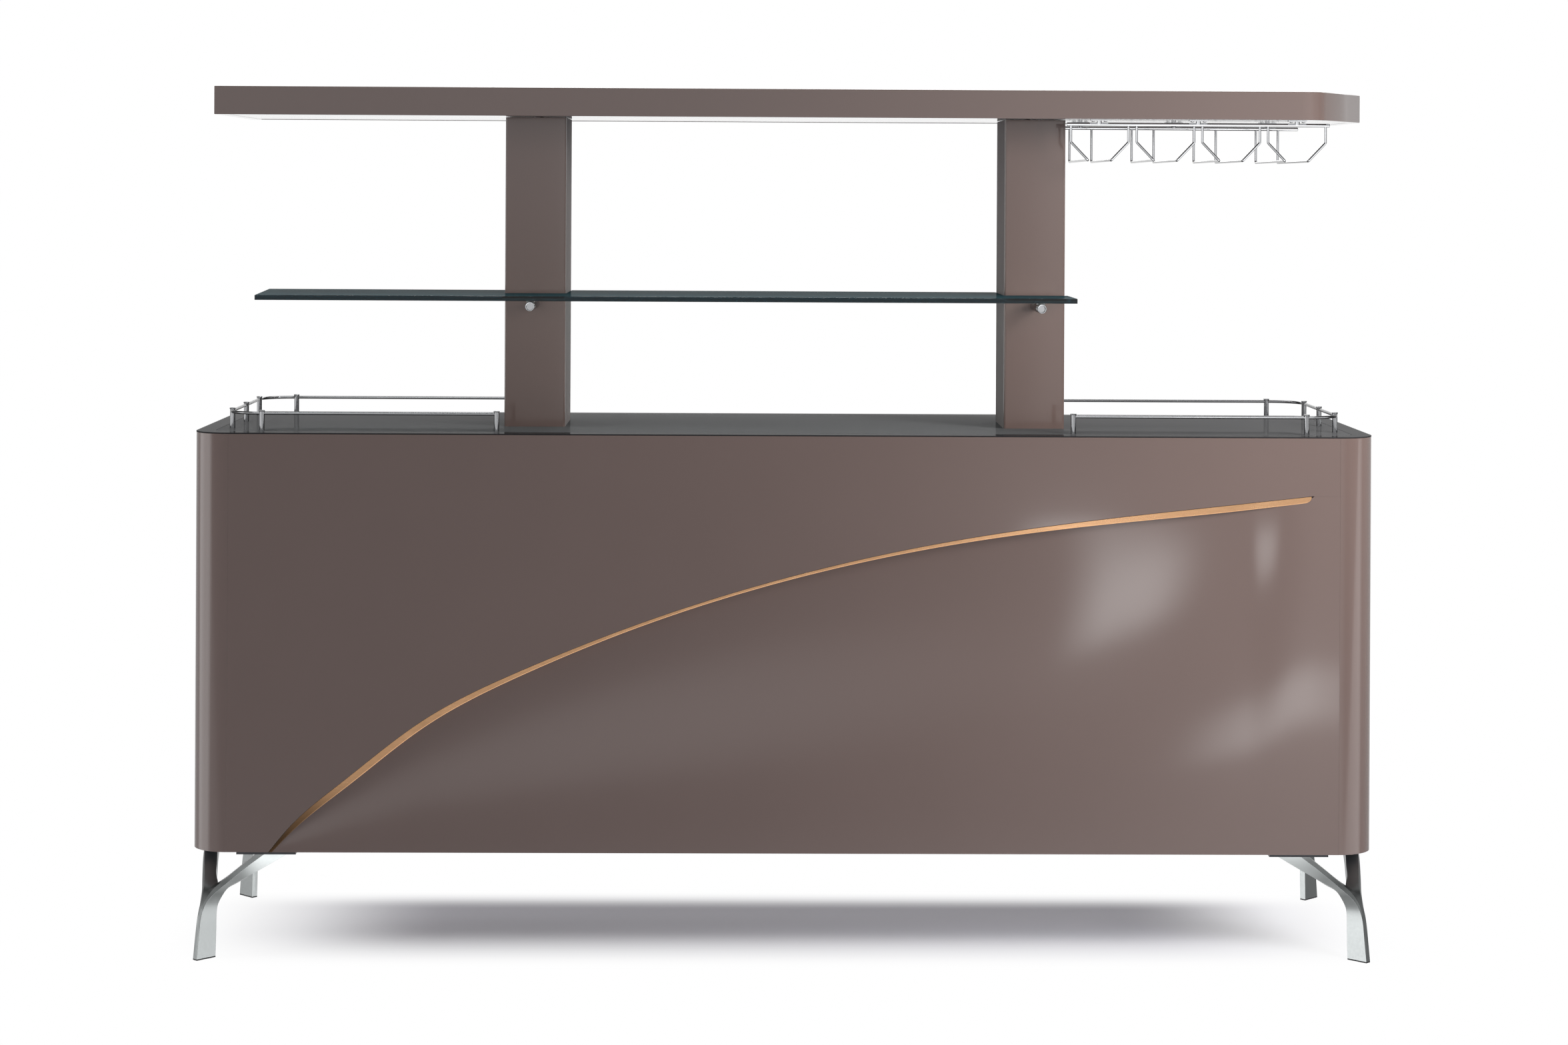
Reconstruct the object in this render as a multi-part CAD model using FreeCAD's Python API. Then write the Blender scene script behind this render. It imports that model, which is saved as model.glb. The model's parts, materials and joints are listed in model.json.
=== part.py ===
import FreeCAD, Part
import math
import os

# A bar sideboard. A lacquered counter with a scooped front stands on four sculpted metal legs.
# Two uprights carry a canopy over it, with a glass shelf between and a stemware rack on the right.
# Lengths are in millimetres: +X to the right seen from the front, -Y the front, +Z up from the floor.

# The counter
counter_width = 1900.0
counter_depth = 500.0
counter_height = 845.0
floor_clearance = 175.0
corner_radius = 60.0
shell_wall = 20.0
board_thickness = 20.0
front_thickness = 36.0
centre_bay_width = 560.0
corner_relief = 2.0
fit_gap = 0.3
running_gap = 0.05
overrun = 10.0

# The curved trim across the front, as shares of half the flat front and of its height
trim_path_shares = [
    (-0.9247, 0.0),
    (-0.8854, 0.0629),
    (-0.7899, 0.1722),
    (-0.6461, 0.3189),
    (-0.4775, 0.4341),
    (-0.2809, 0.5404),
    (0.0, 0.6602),
    (0.2809, 0.7455),
    (0.5618, 0.8024),
    (0.7865, 0.8368),
    (0.9483, 0.8608),
]
trim_width_shares = [0.4, 0.75, 1.0, 0.95, 0.7, 0.5, 0.45, 0.55, 0.8, 1.0, 1.0]
trim_width = 11.0
trim_end_share = 0.8
trim_bulge_share = 0.15
trim_bulge_drop_share = 0.6

# The hollow below the trim
scoop_depth = 24.0
scoop_margin = 15.0
scoop_stations = 15
scoop_rows = 7
scoop_power_share = 0.8

# The countertop
border_thickness = 2.0
border_width = 31.0
glass_thickness = 4.0

# The doors and the drawer on the working side
door_thickness = 18.0
door_setback = 2.0
door_gap = 2.0
pivot_radius = 3.0
pivot_insert = 10.0
bush_radius = 5.0
bush_length = 12.0
washer_radius = 8.0
washer_clearance = 0.3
pull_length = 120.0
pull_width = 32.0
pull_depth = 12.0
pull_wall = 2.0
pull_margin = 30.0
catch_width = 40.0
catch_depth = 15.0
catch_height = 14.0
catch_margin = 12.0
strike_thickness = 2.0
drawer_height = 161.0
drawer_front_room = 64.0
drawer_wall = 12.0
drawer_bottom_thickness = 6.0
drawer_bottom_lift = 6.0
drawer_lift = 8.0
drawer_headroom = 21.0
drawer_groove = 6.0
divider_thickness = 18.0
runner_width = 12.5
runner_height = 40.0
runner_sheet = 2.0
runner_overhang = 10.0

# The bay shelves
bay_shelf_thickness = 18.0
bay_shelf_setback = 36.0
bay_shelf_height_share = 0.48
pin_radius = 2.5
pin_insert = 10.0
pin_reach = 9.0
pin_inset = 50.0

# The uprights
upright_spread = 824.0
upright_width = 100.0
upright_depth = 170.0
upright_front = 160.0
upright_wall = 18.0
rod_radius = 5.0
rod_spacing = 90.0
nut_radius = 9.0
nut_height = 8.0
nut_tail = 4.0

# The canopy
canopy_underside_height = 1355.0
canopy_thickness = 46.0
canopy_front = 65.0
canopy_depth = 400.0
canopy_left_reach = 926.0
canopy_right_reach = 965.0
canopy_sweep_width = 99.0
canopy_sweep_depth = 180.0
canopy_bend_length = 30.0
canopy_wall = 20.0
canopy_top_thickness = 12.0
canopy_panel_thickness = 8.0
rod_engagement = 22.0

# The glass shelf and its supports
shelf_top_height = 1065.0
shelf_thickness = 8.0
shelf_front = 5.0
shelf_left_reach = 850.0
shelf_splay = 25.0
shelf_end_margin = 5.0
shelf_notch_gap = 1.0
support_radius = 7.5
support_wall = 2.0
support_length = 135.0
support_insert = 10.0
support_recess = 8.0
support_plug = 4.0
pad_height = 2.0
pad_saddle = 3.0
pad_width = 12.0
pad_length = 25.0
pad_margin = 12.0

# The gallery rails
gallery_inset = 50.0
gallery_corner_radius = 52.0
gallery_inner_reach = 466.0
gallery_rod_radius = 2.5
gallery_rod_height = 28.0
post_radius = 4.25
post_height = 33.0
post_cap_radius = 5.0
post_cap_height = 2.0
post_corner_offset = 56.0

# The stemware rack
rack_start = 458.0
rack_pitch = 107.5
rack_channels = 4
rack_front = 100.0
rack_length = 300.0
rack_bar_radius = 3.0
rack_bar_drop = 8.0
rack_wire_radius = 2.0
rack_slot = 34.0
rack_mouth = 94.0
rack_fall = 29.0
rack_slope_fall = 29.5
lug_length = 30.0
lug_width = 12.0
lug_thickness = 2.0
lug_post_radius = 4.0
lug_inset = 53.0
rack_screw_radius = 1.75
rack_screw_head_radius = 3.3
rack_screw_head_height = 2.0
rack_screw_length = 6.0
rack_screw_spacing = 20.0

# The legs, in a corner's own frame: inward along the front and inward along the side.
# Half a leg has five long edges, as shares of its reach, of its reach and of its height.
leg_reach = 160.0
leg_ridge_shares = [
    (0.1069, 0.0606, 0.2882), (0.1263, 0.0794, 0.4353), (0.1525, 0.0919, 0.5059),
    (0.1906, 0.0963, 0.5647), (0.2531, 0.095, 0.6265), (0.3281, 0.0844, 0.6882),
    (0.4144, 0.0719, 0.7565), (0.5012, 0.06, 0.8235), (0.5869, 0.0512, 0.8894),
    (0.6719, 0.0475, 0.95), (0.7438, 0.0512, 1.0),
]
leg_crest_shares = [
    (0.0956, 0.0719, 0.2882), (0.1137, 0.09, 0.4353), (0.1294, 0.1, 0.5029),
    (0.1562, 0.1081, 0.5618), (0.2031, 0.1156, 0.6294), (0.2656, 0.115, 0.6912),
    (0.3438, 0.105, 0.7518), (0.4313, 0.0887, 0.8224), (0.5188, 0.0738, 0.8894),
    (0.6031, 0.0638, 0.9518), (0.6656, 0.0613, 1.0),
]
leg_inner_crest_shares = [
    (0.0644, 0.1031, 0.2882), (0.0825, 0.1212, 0.4353), (0.0931, 0.1363, 0.5059),
    (0.11, 0.1537, 0.5676), (0.1469, 0.1906, 0.6382), (0.2313, 0.2531, 0.6824),
    (0.3344, 0.225, 0.7471), (0.4313, 0.2125, 0.8194), (0.5188, 0.2031, 0.8865),
    (0.6031, 0.1938, 0.9506), (0.6656, 0.1875, 1.0),
]
leg_inner_lower_shares = [
    (0.2075, 0.2462, 0.2882), (0.21, 0.25, 0.4294), (0.225, 0.2562, 0.4765),
    (0.2531, 0.2656, 0.5265), (0.3, 0.2469, 0.5824), (0.3594, 0.2313, 0.6441),
    (0.4375, 0.2156, 0.6882), (0.525, 0.2062, 0.7382), (0.6312, 0.1938, 0.8),
    (0.7875, 0.1812, 0.8882), (0.975, 0.1688, 1.0),
]
leg_outer_lower_shares = [
    (0.25, 0.2038, 0.2882), (0.2531, 0.2062, 0.4294), (0.2625, 0.2038, 0.4882),
    (0.2863, 0.1938, 0.5412), (0.33, 0.1812, 0.6118), (0.3812, 0.1688, 0.6676),
    (0.4531, 0.1537, 0.7118), (0.5375, 0.1406, 0.7571), (0.6406, 0.125, 0.8118),
    (0.8, 0.1031, 0.9), (0.975, 0.0813, 1.0),
]
foot_length = 36.2
foot_thickness = 10.5
foot_centre = 22.4
foot_crest_share = 0.5
foot_overlap_share = 0.8
glide_thickness = 2.0
plate_thickness = 5.0
plate_start = 75.0
plate_end = 170.0
plate_width = 32.0
plate_margin = 8.0
leg_screw_reach = 118.0
leg_screw_offset = 23.5
leg_screw_radius = 2.5
leg_screw_head_radius = 4.0
leg_screw_head_height = 3.0
leg_screw_recess_gap = 0.3
leg_screw_seat = 7.0
leg_screw_insert = 14.0

# Places that follow from the sizes
half_width = counter_width / 2
half_depth = counter_depth / 2
flat_half_width = half_width - corner_radius
case_top = counter_height - border_thickness
inner_top = case_top - board_thickness
inner_floor = floor_clearance + board_thickness
panel_back = front_thickness - half_depth
glass_bottom = counter_height - glass_thickness
door_outer = half_depth - door_setback
door_inner = door_outer - door_thickness
carcass_rear = door_inner - door_gap
partition_inner = centre_bay_width / 2
partition_outer = partition_inner + board_thickness
partition_middle = (partition_inner + partition_outer) / 2
door_free_edge = partition_middle + door_gap / 2
drawer_half_width = partition_middle - door_gap / 2
door_bottom = inner_floor + door_gap
door_top = inner_top - door_gap
pivot_x = flat_half_width - door_gap - door_thickness / 2
pivot_y = (door_inner + door_outer) / 2
drawer_bottom_edge = door_top - drawer_height
divider_top = drawer_bottom_edge - door_gap
drawer_box_half = partition_inner - runner_width - fit_gap
drawer_box_front = panel_back + drawer_front_room
drawer_box_bottom = drawer_bottom_edge + drawer_lift
drawer_box_top = door_top - drawer_headroom
runner_middle = (drawer_box_bottom + drawer_box_top) / 2
bay_shelf_bottom = inner_floor + (inner_top - inner_floor) * bay_shelf_height_share
upright_centre = upright_spread / 2
upright_face = upright_front - half_depth
upright_rear = upright_face + upright_depth
upright_middle = (upright_face + upright_rear) / 2
canopy_face = canopy_front - half_depth
canopy_rear = canopy_face + canopy_depth
canopy_top = canopy_underside_height + canopy_thickness
canopy_ceiling = canopy_top - canopy_top_thickness
canopy_panel_top = canopy_underside_height + canopy_panel_thickness
shelf_bottom = shelf_top_height - shelf_thickness
shelf_face = shelf_front - half_depth
support_height = shelf_bottom - pad_height - support_radius
leg_top = floor_clearance - plate_thickness
rack_bar_height = canopy_underside_height - rack_bar_drop
rack_face = rack_front - half_depth
rack_rear = rack_face + rack_length
front_height = case_top - floor_clearance
centring_shift = (half_width - canopy_right_reach) / 2


# Helpers

def vec(x, y, z):
    """Return a point or direction."""
    return FreeCAD.Vector(x, y, z)


def box(x0, x1, y0, y1, z0, z1):
    """Return a box between two corners."""
    return Part.makeBox(x1 - x0, y1 - y0, z1 - z0, vec(x0, y0, z0))


def rod(start, end, radius):
    """Return a round bar between two points."""
    along = end.sub(start)
    return Part.makeCylinder(radius, along.Length, start, along)


def upright_rod(x, y, z0, z1, radius):
    """Return a round bar standing on end."""
    return rod(vec(x, y, z0), vec(x, y, z1), radius)


def fuse_all(shapes):
    """Return one solid made of touching or overlapping shapes."""
    return shapes[0].multiFuse(shapes[1:]).removeSplitter()


def cut_all(shape, tools):
    """Return a shape with every tool cut out of it."""
    for tool in tools:
        shape = shape.cut(tool)
    return shape


def mirrored(shape):
    """Return the mirror image on the other side of the middle plane."""
    return shape.mirror(vec(0, 0, 0), vec(1, 0, 0))


def on_side(shape, side):
    """Return a shape drawn on the right as it sits on the given side."""
    return shape if side > 0 else mirrored(shape)


def round_plate(half_x, half_y, radius, z0, z1):
    """Return a centred plate with round corners in plan."""
    plate = box(-half_x, half_x, -half_y, half_y, z0, z1)
    corners = [
        edge for edge in plate.Edges
        if edge.Vertexes[0].Z != edge.Vertexes[-1].Z
    ]
    return plate.makeFillet(radius, corners)


def curve(points):
    """Return a smooth edge through the points."""
    line = Part.BSplineCurve()
    line.interpolate(points)
    return line.toShape()


def straight(start, end):
    """Return a straight edge."""
    return Part.LineSegment(start, end).toShape()


def path_wire(edges):
    """Return a wire of edges given in order."""
    return Part.Wire(edges)


# The front and its trim

def trim_points():
    """Return the trim's upper and lower points on the front's own plane."""
    upper = []
    lower = []
    count = len(trim_path_shares)
    centres = [
        (flat_half_width * x_share, floor_clearance + front_height * z_share)
        for x_share, z_share in trim_path_shares
    ]
    for index in range(count):
        before = centres[max(index - 1, 0)]
        after = centres[min(index + 1, count - 1)]
        slope = math.atan2(after[1] - before[1], after[0] - before[0])
        width = trim_width * trim_width_shares[index]
        x, z = centres[index]
        upper.append((x, z))
        if index == 0:
            lower.append((x + width / math.sin(slope), z))
        elif index == count - 1:
            end_x = x - width * trim_end_share
            lower.append((end_x, z - width))
        else:
            lower.append((x + width * math.sin(slope), z - width * math.cos(slope)))
    return upper, lower


def at_depth(points, y):
    """Return plan points of the front as points in space at one depth."""
    return [vec(x, y, z) for x, z in points]


def front_faces(y):
    """Return the outlines of the upper panel, the trim and the scooped panel as faces."""
    upper, lower = trim_points()
    top = at_depth(upper, y)
    under = at_depth(lower, y)
    tip = top[-1]
    heel = under[-1]
    bulge = vec(
        tip.x - trim_width * trim_bulge_share,
        y,
        tip.z - trim_width * trim_bulge_drop_share,
    )
    top_edge = curve(top)
    under_edge = curve(under)
    end_edge = Part.Arc(heel, bulge, tip).toShape()
    seam = vec(flat_half_width, y, tip.z)
    low_right = vec(flat_half_width, y, floor_clearance)
    high_right = vec(flat_half_width, y, case_top)
    high_left = vec(-flat_half_width, y, case_top)
    low_left = vec(-flat_half_width, y, floor_clearance)
    trim = path_wire([top_edge, end_edge, under_edge, straight(under[0], top[0])])
    scooped = path_wire([
        under_edge,
        end_edge,
        straight(tip, seam),
        straight(seam, low_right),
        straight(low_right, under[0]),
    ])
    panel = path_wire([
        top_edge,
        straight(tip, seam),
        straight(seam, high_right),
        straight(high_right, high_left),
        straight(high_left, low_left),
        straight(low_left, top[0]),
    ])
    return [Part.Face(wire) for wire in (panel, trim, scooped)]


def front_prisms(y0, y1):
    """Return the three outlines of the front as prisms between two depths."""
    return [face.extrude(vec(0, y1 - y0, 0)) for face in front_faces(y0)]


def trim_height(x):
    """Return the height of the trim's path at a place across the front."""
    points = [
        (flat_half_width * x_share, floor_clearance + front_height * z_share)
        for x_share, z_share in trim_path_shares
    ]
    for (x0, z0), (x1, z1) in zip(points, points[1:]):
        if x0 <= x <= x1:
            return z0 + (z1 - z0) * (x - x0) / (x1 - x0)
    return points[-1][1] if x > points[-1][0] else points[0][1]


def scoop_profile(x, start, end):
    """Return one upright section of the scooped panel."""
    across = (x - start) / (end - start)
    wave = max(math.sin(math.pi * across), 0.0) ** scoop_power_share
    height = max(trim_height(x) - floor_clearance, 2 * scoop_margin)
    points = [vec(x, -half_depth, floor_clearance - scoop_margin)]
    for row in range(scoop_rows + 1):
        up = row / scoop_rows
        depth = scoop_depth * wave * math.sin(math.pi * up / 2) ** 2
        points.append(vec(x, depth - half_depth, floor_clearance + height * up))
    last = points[-1]
    points.append(vec(x, last.y, last.z + scoop_margin))
    back = panel_back + overrun
    high = vec(x, back, points[-1].z)
    low = vec(x, back, points[0].z)
    return path_wire([
        curve(points),
        straight(points[-1], high),
        straight(high, low),
        straight(low, points[0]),
    ])


def scoop_body():
    """Return the hollowed block from which the scooped panel is taken."""
    start = flat_half_width * trim_path_shares[0][0]
    end = flat_half_width * trim_path_shares[-1][0] + scoop_margin
    step = (end - start) / scoop_stations
    sections = [
        scoop_profile(start + step * index, start, end)
        for index in range(scoop_stations + 1)
    ]
    hollow = Part.makeLoft(sections, True, False)
    last_top = trim_height(end) + scoop_margin
    flat = box(
        end, flat_half_width + overrun,
        -half_depth, panel_back + overrun,
        floor_clearance - scoop_margin, last_top,
    )
    return hollow.fuse(flat)


def front_pieces():
    """Return the upper panel, the trim and the scooped panel."""
    panel, trim, _ = front_prisms(-half_depth, panel_back)
    scooped = front_prisms(-half_depth - overrun, panel_back)[2].common(scoop_body())
    holes = leg_screw_shanks()
    return cut_all(panel, holes), trim, cut_all(scooped, holes)


# The carcass

def inner_board(z0, z1):
    """Return a board that fills the carcass in plan and reaches the rear edge."""
    half_x = half_width - shell_wall
    half_y = half_depth - shell_wall
    radius = corner_radius - shell_wall + corner_relief
    plate = round_plate(half_x, half_y, radius, z0, z1)
    plate = plate.cut(box(-half_x, half_x, -half_depth, panel_back, z0, z1))
    strip = box(-flat_half_width, flat_half_width, 0, half_depth, z0, z1)
    return fuse_all([plate, strip])


def shelf_pin_places():
    """Return the depths of the bay shelf pins."""
    inset = bay_shelf_setback + pin_inset
    return [panel_back + inset, carcass_rear - inset]


def side_pin(y, inner_x, direction, clearance):
    """Return one bay shelf pin that enters a wall, seen on the right side."""
    z = bay_shelf_bottom - pin_radius
    start = vec(inner_x + direction * pin_insert, y, z)
    end = vec(inner_x - direction * pin_reach, y, z)
    return rod(start, end, pin_radius + clearance)


def bay_pins(clearance):
    """Return the pins of the right bay, in the outer wall and in the partition."""
    pins = []
    for y in shelf_pin_places():
        pins.append(side_pin(y, half_width - shell_wall, 1, clearance))
        pins.append(side_pin(y, partition_outer, -1, clearance))
    return pins


def side_shell(side):
    """Return a side wall that wraps both of its corners."""
    outer = round_plate(half_width, half_depth, corner_radius, floor_clearance, case_top)
    inner = round_plate(
        half_width - shell_wall,
        half_depth - shell_wall,
        corner_radius - shell_wall,
        floor_clearance,
        case_top,
    )
    keep = box(
        flat_half_width, half_width + overrun,
        -half_depth - overrun, half_depth + overrun,
        floor_clearance, case_top,
    )
    wall = outer.cut(inner).common(keep)
    return on_side(cut_all(wall, bay_pins(0)), side)


def bottom_panel():
    """Return the floor of the carcass with its pin and screw holes."""
    board = inner_board(floor_clearance, inner_floor)
    holes = []
    for side in (-1, 1):
        holes.append(pivot_pin(side, False, 0))
    for screw in leg_screw_shanks():
        holes.append(screw)
    return cut_all(board, holes)


def upright_rod_places():
    """Return the plan places of the tie rods."""
    return [
        (side * upright_centre, upright_middle + end * rod_spacing / 2)
        for side in (-1, 1)
        for end in (-1, 1)
    ]


def top_panel():
    """Return the top board, let down for the glass and drilled for the tie rods."""
    board = inner_board(inner_top, case_top)
    bed = glass_plate(0, 0)
    holes = [pivot_pin(side, True, 0) for side in (-1, 1)]
    for x, y in upright_rod_places():
        holes.append(upright_rod(x, y, inner_top, case_top, rod_radius))
    return cut_all(board, [bed] + holes)


def partition(side):
    """Return an upright board beside the centre bay."""
    board = box(
        partition_inner, partition_outer,
        panel_back, carcass_rear,
        inner_floor, inner_top,
    )
    return on_side(cut_all(board, bay_pins(0)), side)


def drawer_divider():
    """Return the board between the drawer and the open niche."""
    return box(
        -partition_inner, partition_inner,
        panel_back, carcass_rear,
        divider_top - divider_thickness, divider_top,
    )


def bay_shelf(side):
    """Return the loose shelf of one bay."""
    board = box(
        partition_outer + fit_gap, half_width - shell_wall - fit_gap,
        panel_back + bay_shelf_setback, carcass_rear - bay_shelf_setback,
        bay_shelf_bottom, bay_shelf_bottom + bay_shelf_thickness,
    )
    return on_side(board, side)


def shelf_pins():
    """Return all eight bay shelf pins."""
    right = bay_pins(0)
    return Part.makeCompound(right + [mirrored(pin) for pin in right])


def glass_plate(gap, wider):
    """Return the countertop glass or its bed, with the uprights' feet left open."""
    half_x = half_width - border_width
    half_y = -panel_back
    radius = corner_radius - border_width
    return round_plate(half_x - gap, half_y - gap, radius, glass_bottom, counter_height + wider)


def upright_foot(side, clearance):
    """Return the upright's outline where it passes through the glass."""
    centre = side * upright_centre
    half = upright_width / 2 + clearance
    return box(
        centre - half, centre + half,
        upright_face - clearance, upright_rear + clearance,
        glass_bottom, counter_height,
    )


def countertop_glass():
    """Return the dark glass of the countertop."""
    feet = [upright_foot(side, fit_gap) for side in (-1, 1)]
    return cut_all(glass_plate(fit_gap, 0), feet)


def countertop_frame():
    """Return the thin border around the countertop glass."""
    ring = round_plate(half_width, half_depth, corner_radius, case_top, counter_height)
    return ring.cut(glass_plate(0, overrun))


# Doors

def pivot_pin(side, upper, clearance):
    """Return a door pivot pin at the foot or the head of a door."""
    if upper:
        z0 = door_top - bush_length
        z1 = inner_top + pivot_insert
    else:
        z0 = inner_floor - pivot_insert
        z1 = door_bottom + bush_length
    return upright_rod(side * pivot_x, pivot_y, z0, z1, pivot_radius + clearance)


def door_pivot_pins():
    """Return the four pins on which the doors turn."""
    return Part.makeCompound([
        pivot_pin(side, upper, 0) for side in (-1, 1) for upper in (False, True)
    ])


def pivot_washers():
    """Return the spacers between the doors and the carcass."""
    washers = []
    for side in (-1, 1):
        for z0, z1 in ((inner_floor, door_bottom), (door_top, inner_top)):
            ring = upright_rod(side * pivot_x, pivot_y, z0, z1, washer_radius)
            hole = upright_rod(
                side * pivot_x, pivot_y, z0, z1, pivot_radius + washer_clearance
            )
            washers.append(ring.cut(hole))
    return Part.makeCompound(washers)


def bush_places():
    """Return the height ranges of a door's two bushes."""
    return [
        (door_bottom, door_bottom + bush_length),
        (door_top - bush_length, door_top),
    ]


def door_bushes(side):
    """Return the two brass bushes pressed into a door."""
    bushes = []
    for z0, z1 in bush_places():
        ring = upright_rod(side * pivot_x, pivot_y, z0, z1, bush_radius)
        bore = upright_rod(
            side * pivot_x, pivot_y, z0, z1, pivot_radius + running_gap
        )
        bushes.append(ring.cut(bore))
    return Part.makeCompound(bushes)


def cup(x0, x1, z0, z1):
    """Return the outside and the hollow of a flush finger pull."""
    outside = box(x0, x1, door_outer - pull_depth, door_outer, z0, z1)
    hollow = box(
        x0 + pull_wall, x1 - pull_wall,
        door_outer - pull_depth + pull_wall, door_outer,
        z0 + pull_wall, z1 - pull_wall,
    )
    return outside, hollow


def door_cup():
    """Return the right door's finger pull as its outside and its hollow."""
    x0 = door_free_edge + pull_margin
    middle = (door_bottom + door_top) / 2
    return cup(
        x0, x0 + pull_width,
        middle - pull_length / 2, middle + pull_length / 2,
    )


def door(side):
    """Return a door with a round hinge edge, a pocket for its pull and bush seats."""
    leaf = box(
        door_free_edge, pivot_x, door_inner, door_outer, door_bottom, door_top
    )
    edge = upright_rod(
        pivot_x, pivot_y, door_bottom, door_top, door_thickness / 2
    )
    seats = [
        upright_rod(pivot_x, pivot_y, z0, z1, bush_radius) for z0, z1 in bush_places()
    ]
    return on_side(cut_all(fuse_all([leaf, edge]), [door_cup()[0]] + seats), side)


def door_pull(side):
    """Return a door's flush finger pull."""
    outside, hollow = door_cup()
    return on_side(outside.cut(hollow), side)


def catch_span():
    """Return the range across which the right bay's catch reaches."""
    start = partition_outer + catch_margin
    return start, start + catch_width


def magnet_catches():
    """Return the two catches under the top board."""
    x0, x1 = catch_span()
    right = box(
        x0, x1, carcass_rear - catch_depth, carcass_rear,
        inner_top - catch_height, inner_top,
    )
    return Part.makeCompound([mirrored(right), right])


def strike_plate(side):
    """Return the steel plate on a door that meets the catch."""
    x0, x1 = catch_span()
    plate = box(
        x0, x1, door_inner - strike_thickness, door_inner,
        inner_top - catch_height, door_top,
    )
    return on_side(plate, side)


# The drawer

def drawer_front():
    """Return the drawer's front with a pocket for its pull."""
    board = box(
        -drawer_half_width, drawer_half_width,
        door_inner, door_outer,
        drawer_bottom_edge, door_top,
    )
    return board.cut(drawer_cup()[0])


def drawer_cup():
    """Return the drawer's finger pull as its outside and its hollow."""
    z1 = door_top - pull_margin
    return cup(-pull_length / 2, pull_length / 2, z1 - pull_width, z1)


def drawer_pull():
    """Return the drawer's flush finger pull."""
    outside, hollow = drawer_cup()
    return outside.cut(hollow)


def drawer_tray(gap):
    """Return the drawer's bottom or, without a gap, the groove that holds it."""
    reach = drawer_wall - drawer_groove + gap
    z0 = drawer_box_bottom + drawer_bottom_lift
    return box(
        reach - drawer_box_half, drawer_box_half - reach,
        drawer_box_front + reach, door_inner - reach,
        z0, z0 + drawer_bottom_thickness,
    )


def drawer_box():
    """Return the drawer's four walls."""
    outside = box(
        -drawer_box_half, drawer_box_half,
        drawer_box_front, door_inner,
        drawer_box_bottom, drawer_box_top,
    )
    inside = box(
        drawer_wall - drawer_box_half, drawer_box_half - drawer_wall,
        drawer_box_front + drawer_wall, door_inner - drawer_wall,
        drawer_box_bottom, drawer_box_top,
    )
    return cut_all(outside, [inside, drawer_tray(0)])


def outer_runner():
    """Return the right channel that is fixed to the partition."""
    front = drawer_box_front - runner_overhang
    channel = box(
        partition_inner - runner_width, partition_inner,
        front, carcass_rear,
        runner_middle - runner_height / 2, runner_middle + runner_height / 2,
    )
    hollow = box(
        partition_inner - runner_width, partition_inner - runner_sheet,
        front, carcass_rear,
        runner_middle - runner_height / 2 + runner_sheet,
        runner_middle + runner_height / 2 - runner_sheet,
    )
    return channel.cut(hollow)


def inner_runner():
    """Return the right bar that is fixed to the drawer."""
    half = runner_height / 2 - runner_sheet - fit_gap
    return box(
        drawer_box_half, partition_inner - runner_sheet - fit_gap,
        drawer_box_front, carcass_rear,
        runner_middle - half, runner_middle + half,
    )


def both_sides(shape):
    """Return a shape and its mirror image as one group."""
    return Part.makeCompound([mirrored(shape), shape])


# Uprights and canopy

def upright(side):
    """Return a hollow upright with a socket for its shelf support."""
    outside = box(
        upright_centre - upright_width / 2, upright_centre + upright_width / 2,
        upright_face, upright_rear,
        glass_bottom, canopy_underside_height,
    )
    hollow = box(
        upright_centre - upright_width / 2 + upright_wall,
        upright_centre + upright_width / 2 - upright_wall,
        upright_face + upright_wall, upright_rear - upright_wall,
        glass_bottom, canopy_underside_height,
    )
    socket = rod(
        vec(upright_centre, upright_face, support_height),
        vec(upright_centre, upright_face + support_insert, support_height),
        support_radius,
    )
    return on_side(cut_all(outside, [hollow, socket]), side)


def tie_rod_top():
    """Return the height of the tie rods' upper ends."""
    return canopy_panel_top + rod_engagement


def upright_tie_rods():
    """Return the four rods that clamp the canopy and the uprights to the counter."""
    z0 = inner_top - nut_height - nut_tail
    return Part.makeCompound([
        upright_rod(x, y, z0, tie_rod_top(), rod_radius) for x, y in upright_rod_places()
    ])


def hexagon_prism(x, y, z0, z1, radius):
    """Return a six-sided nut body."""
    corners = [
        vec(
            x + radius * math.cos(math.pi * turn / 3),
            y + radius * math.sin(math.pi * turn / 3),
            z0,
        )
        for turn in range(7)
    ]
    return Part.Face(Part.makePolygon(corners)).extrude(vec(0, 0, z1 - z0))


def tie_rod_nuts():
    """Return the nuts under the top board."""
    nuts = []
    for x, y in upright_rod_places():
        nut = hexagon_prism(x, y, inner_top - nut_height, inner_top, nut_radius)
        hole = upright_rod(x, y, inner_top - nut_height, inner_top, rod_radius)
        nuts.append(nut.cut(hole))
    return Part.makeCompound(nuts)


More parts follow.
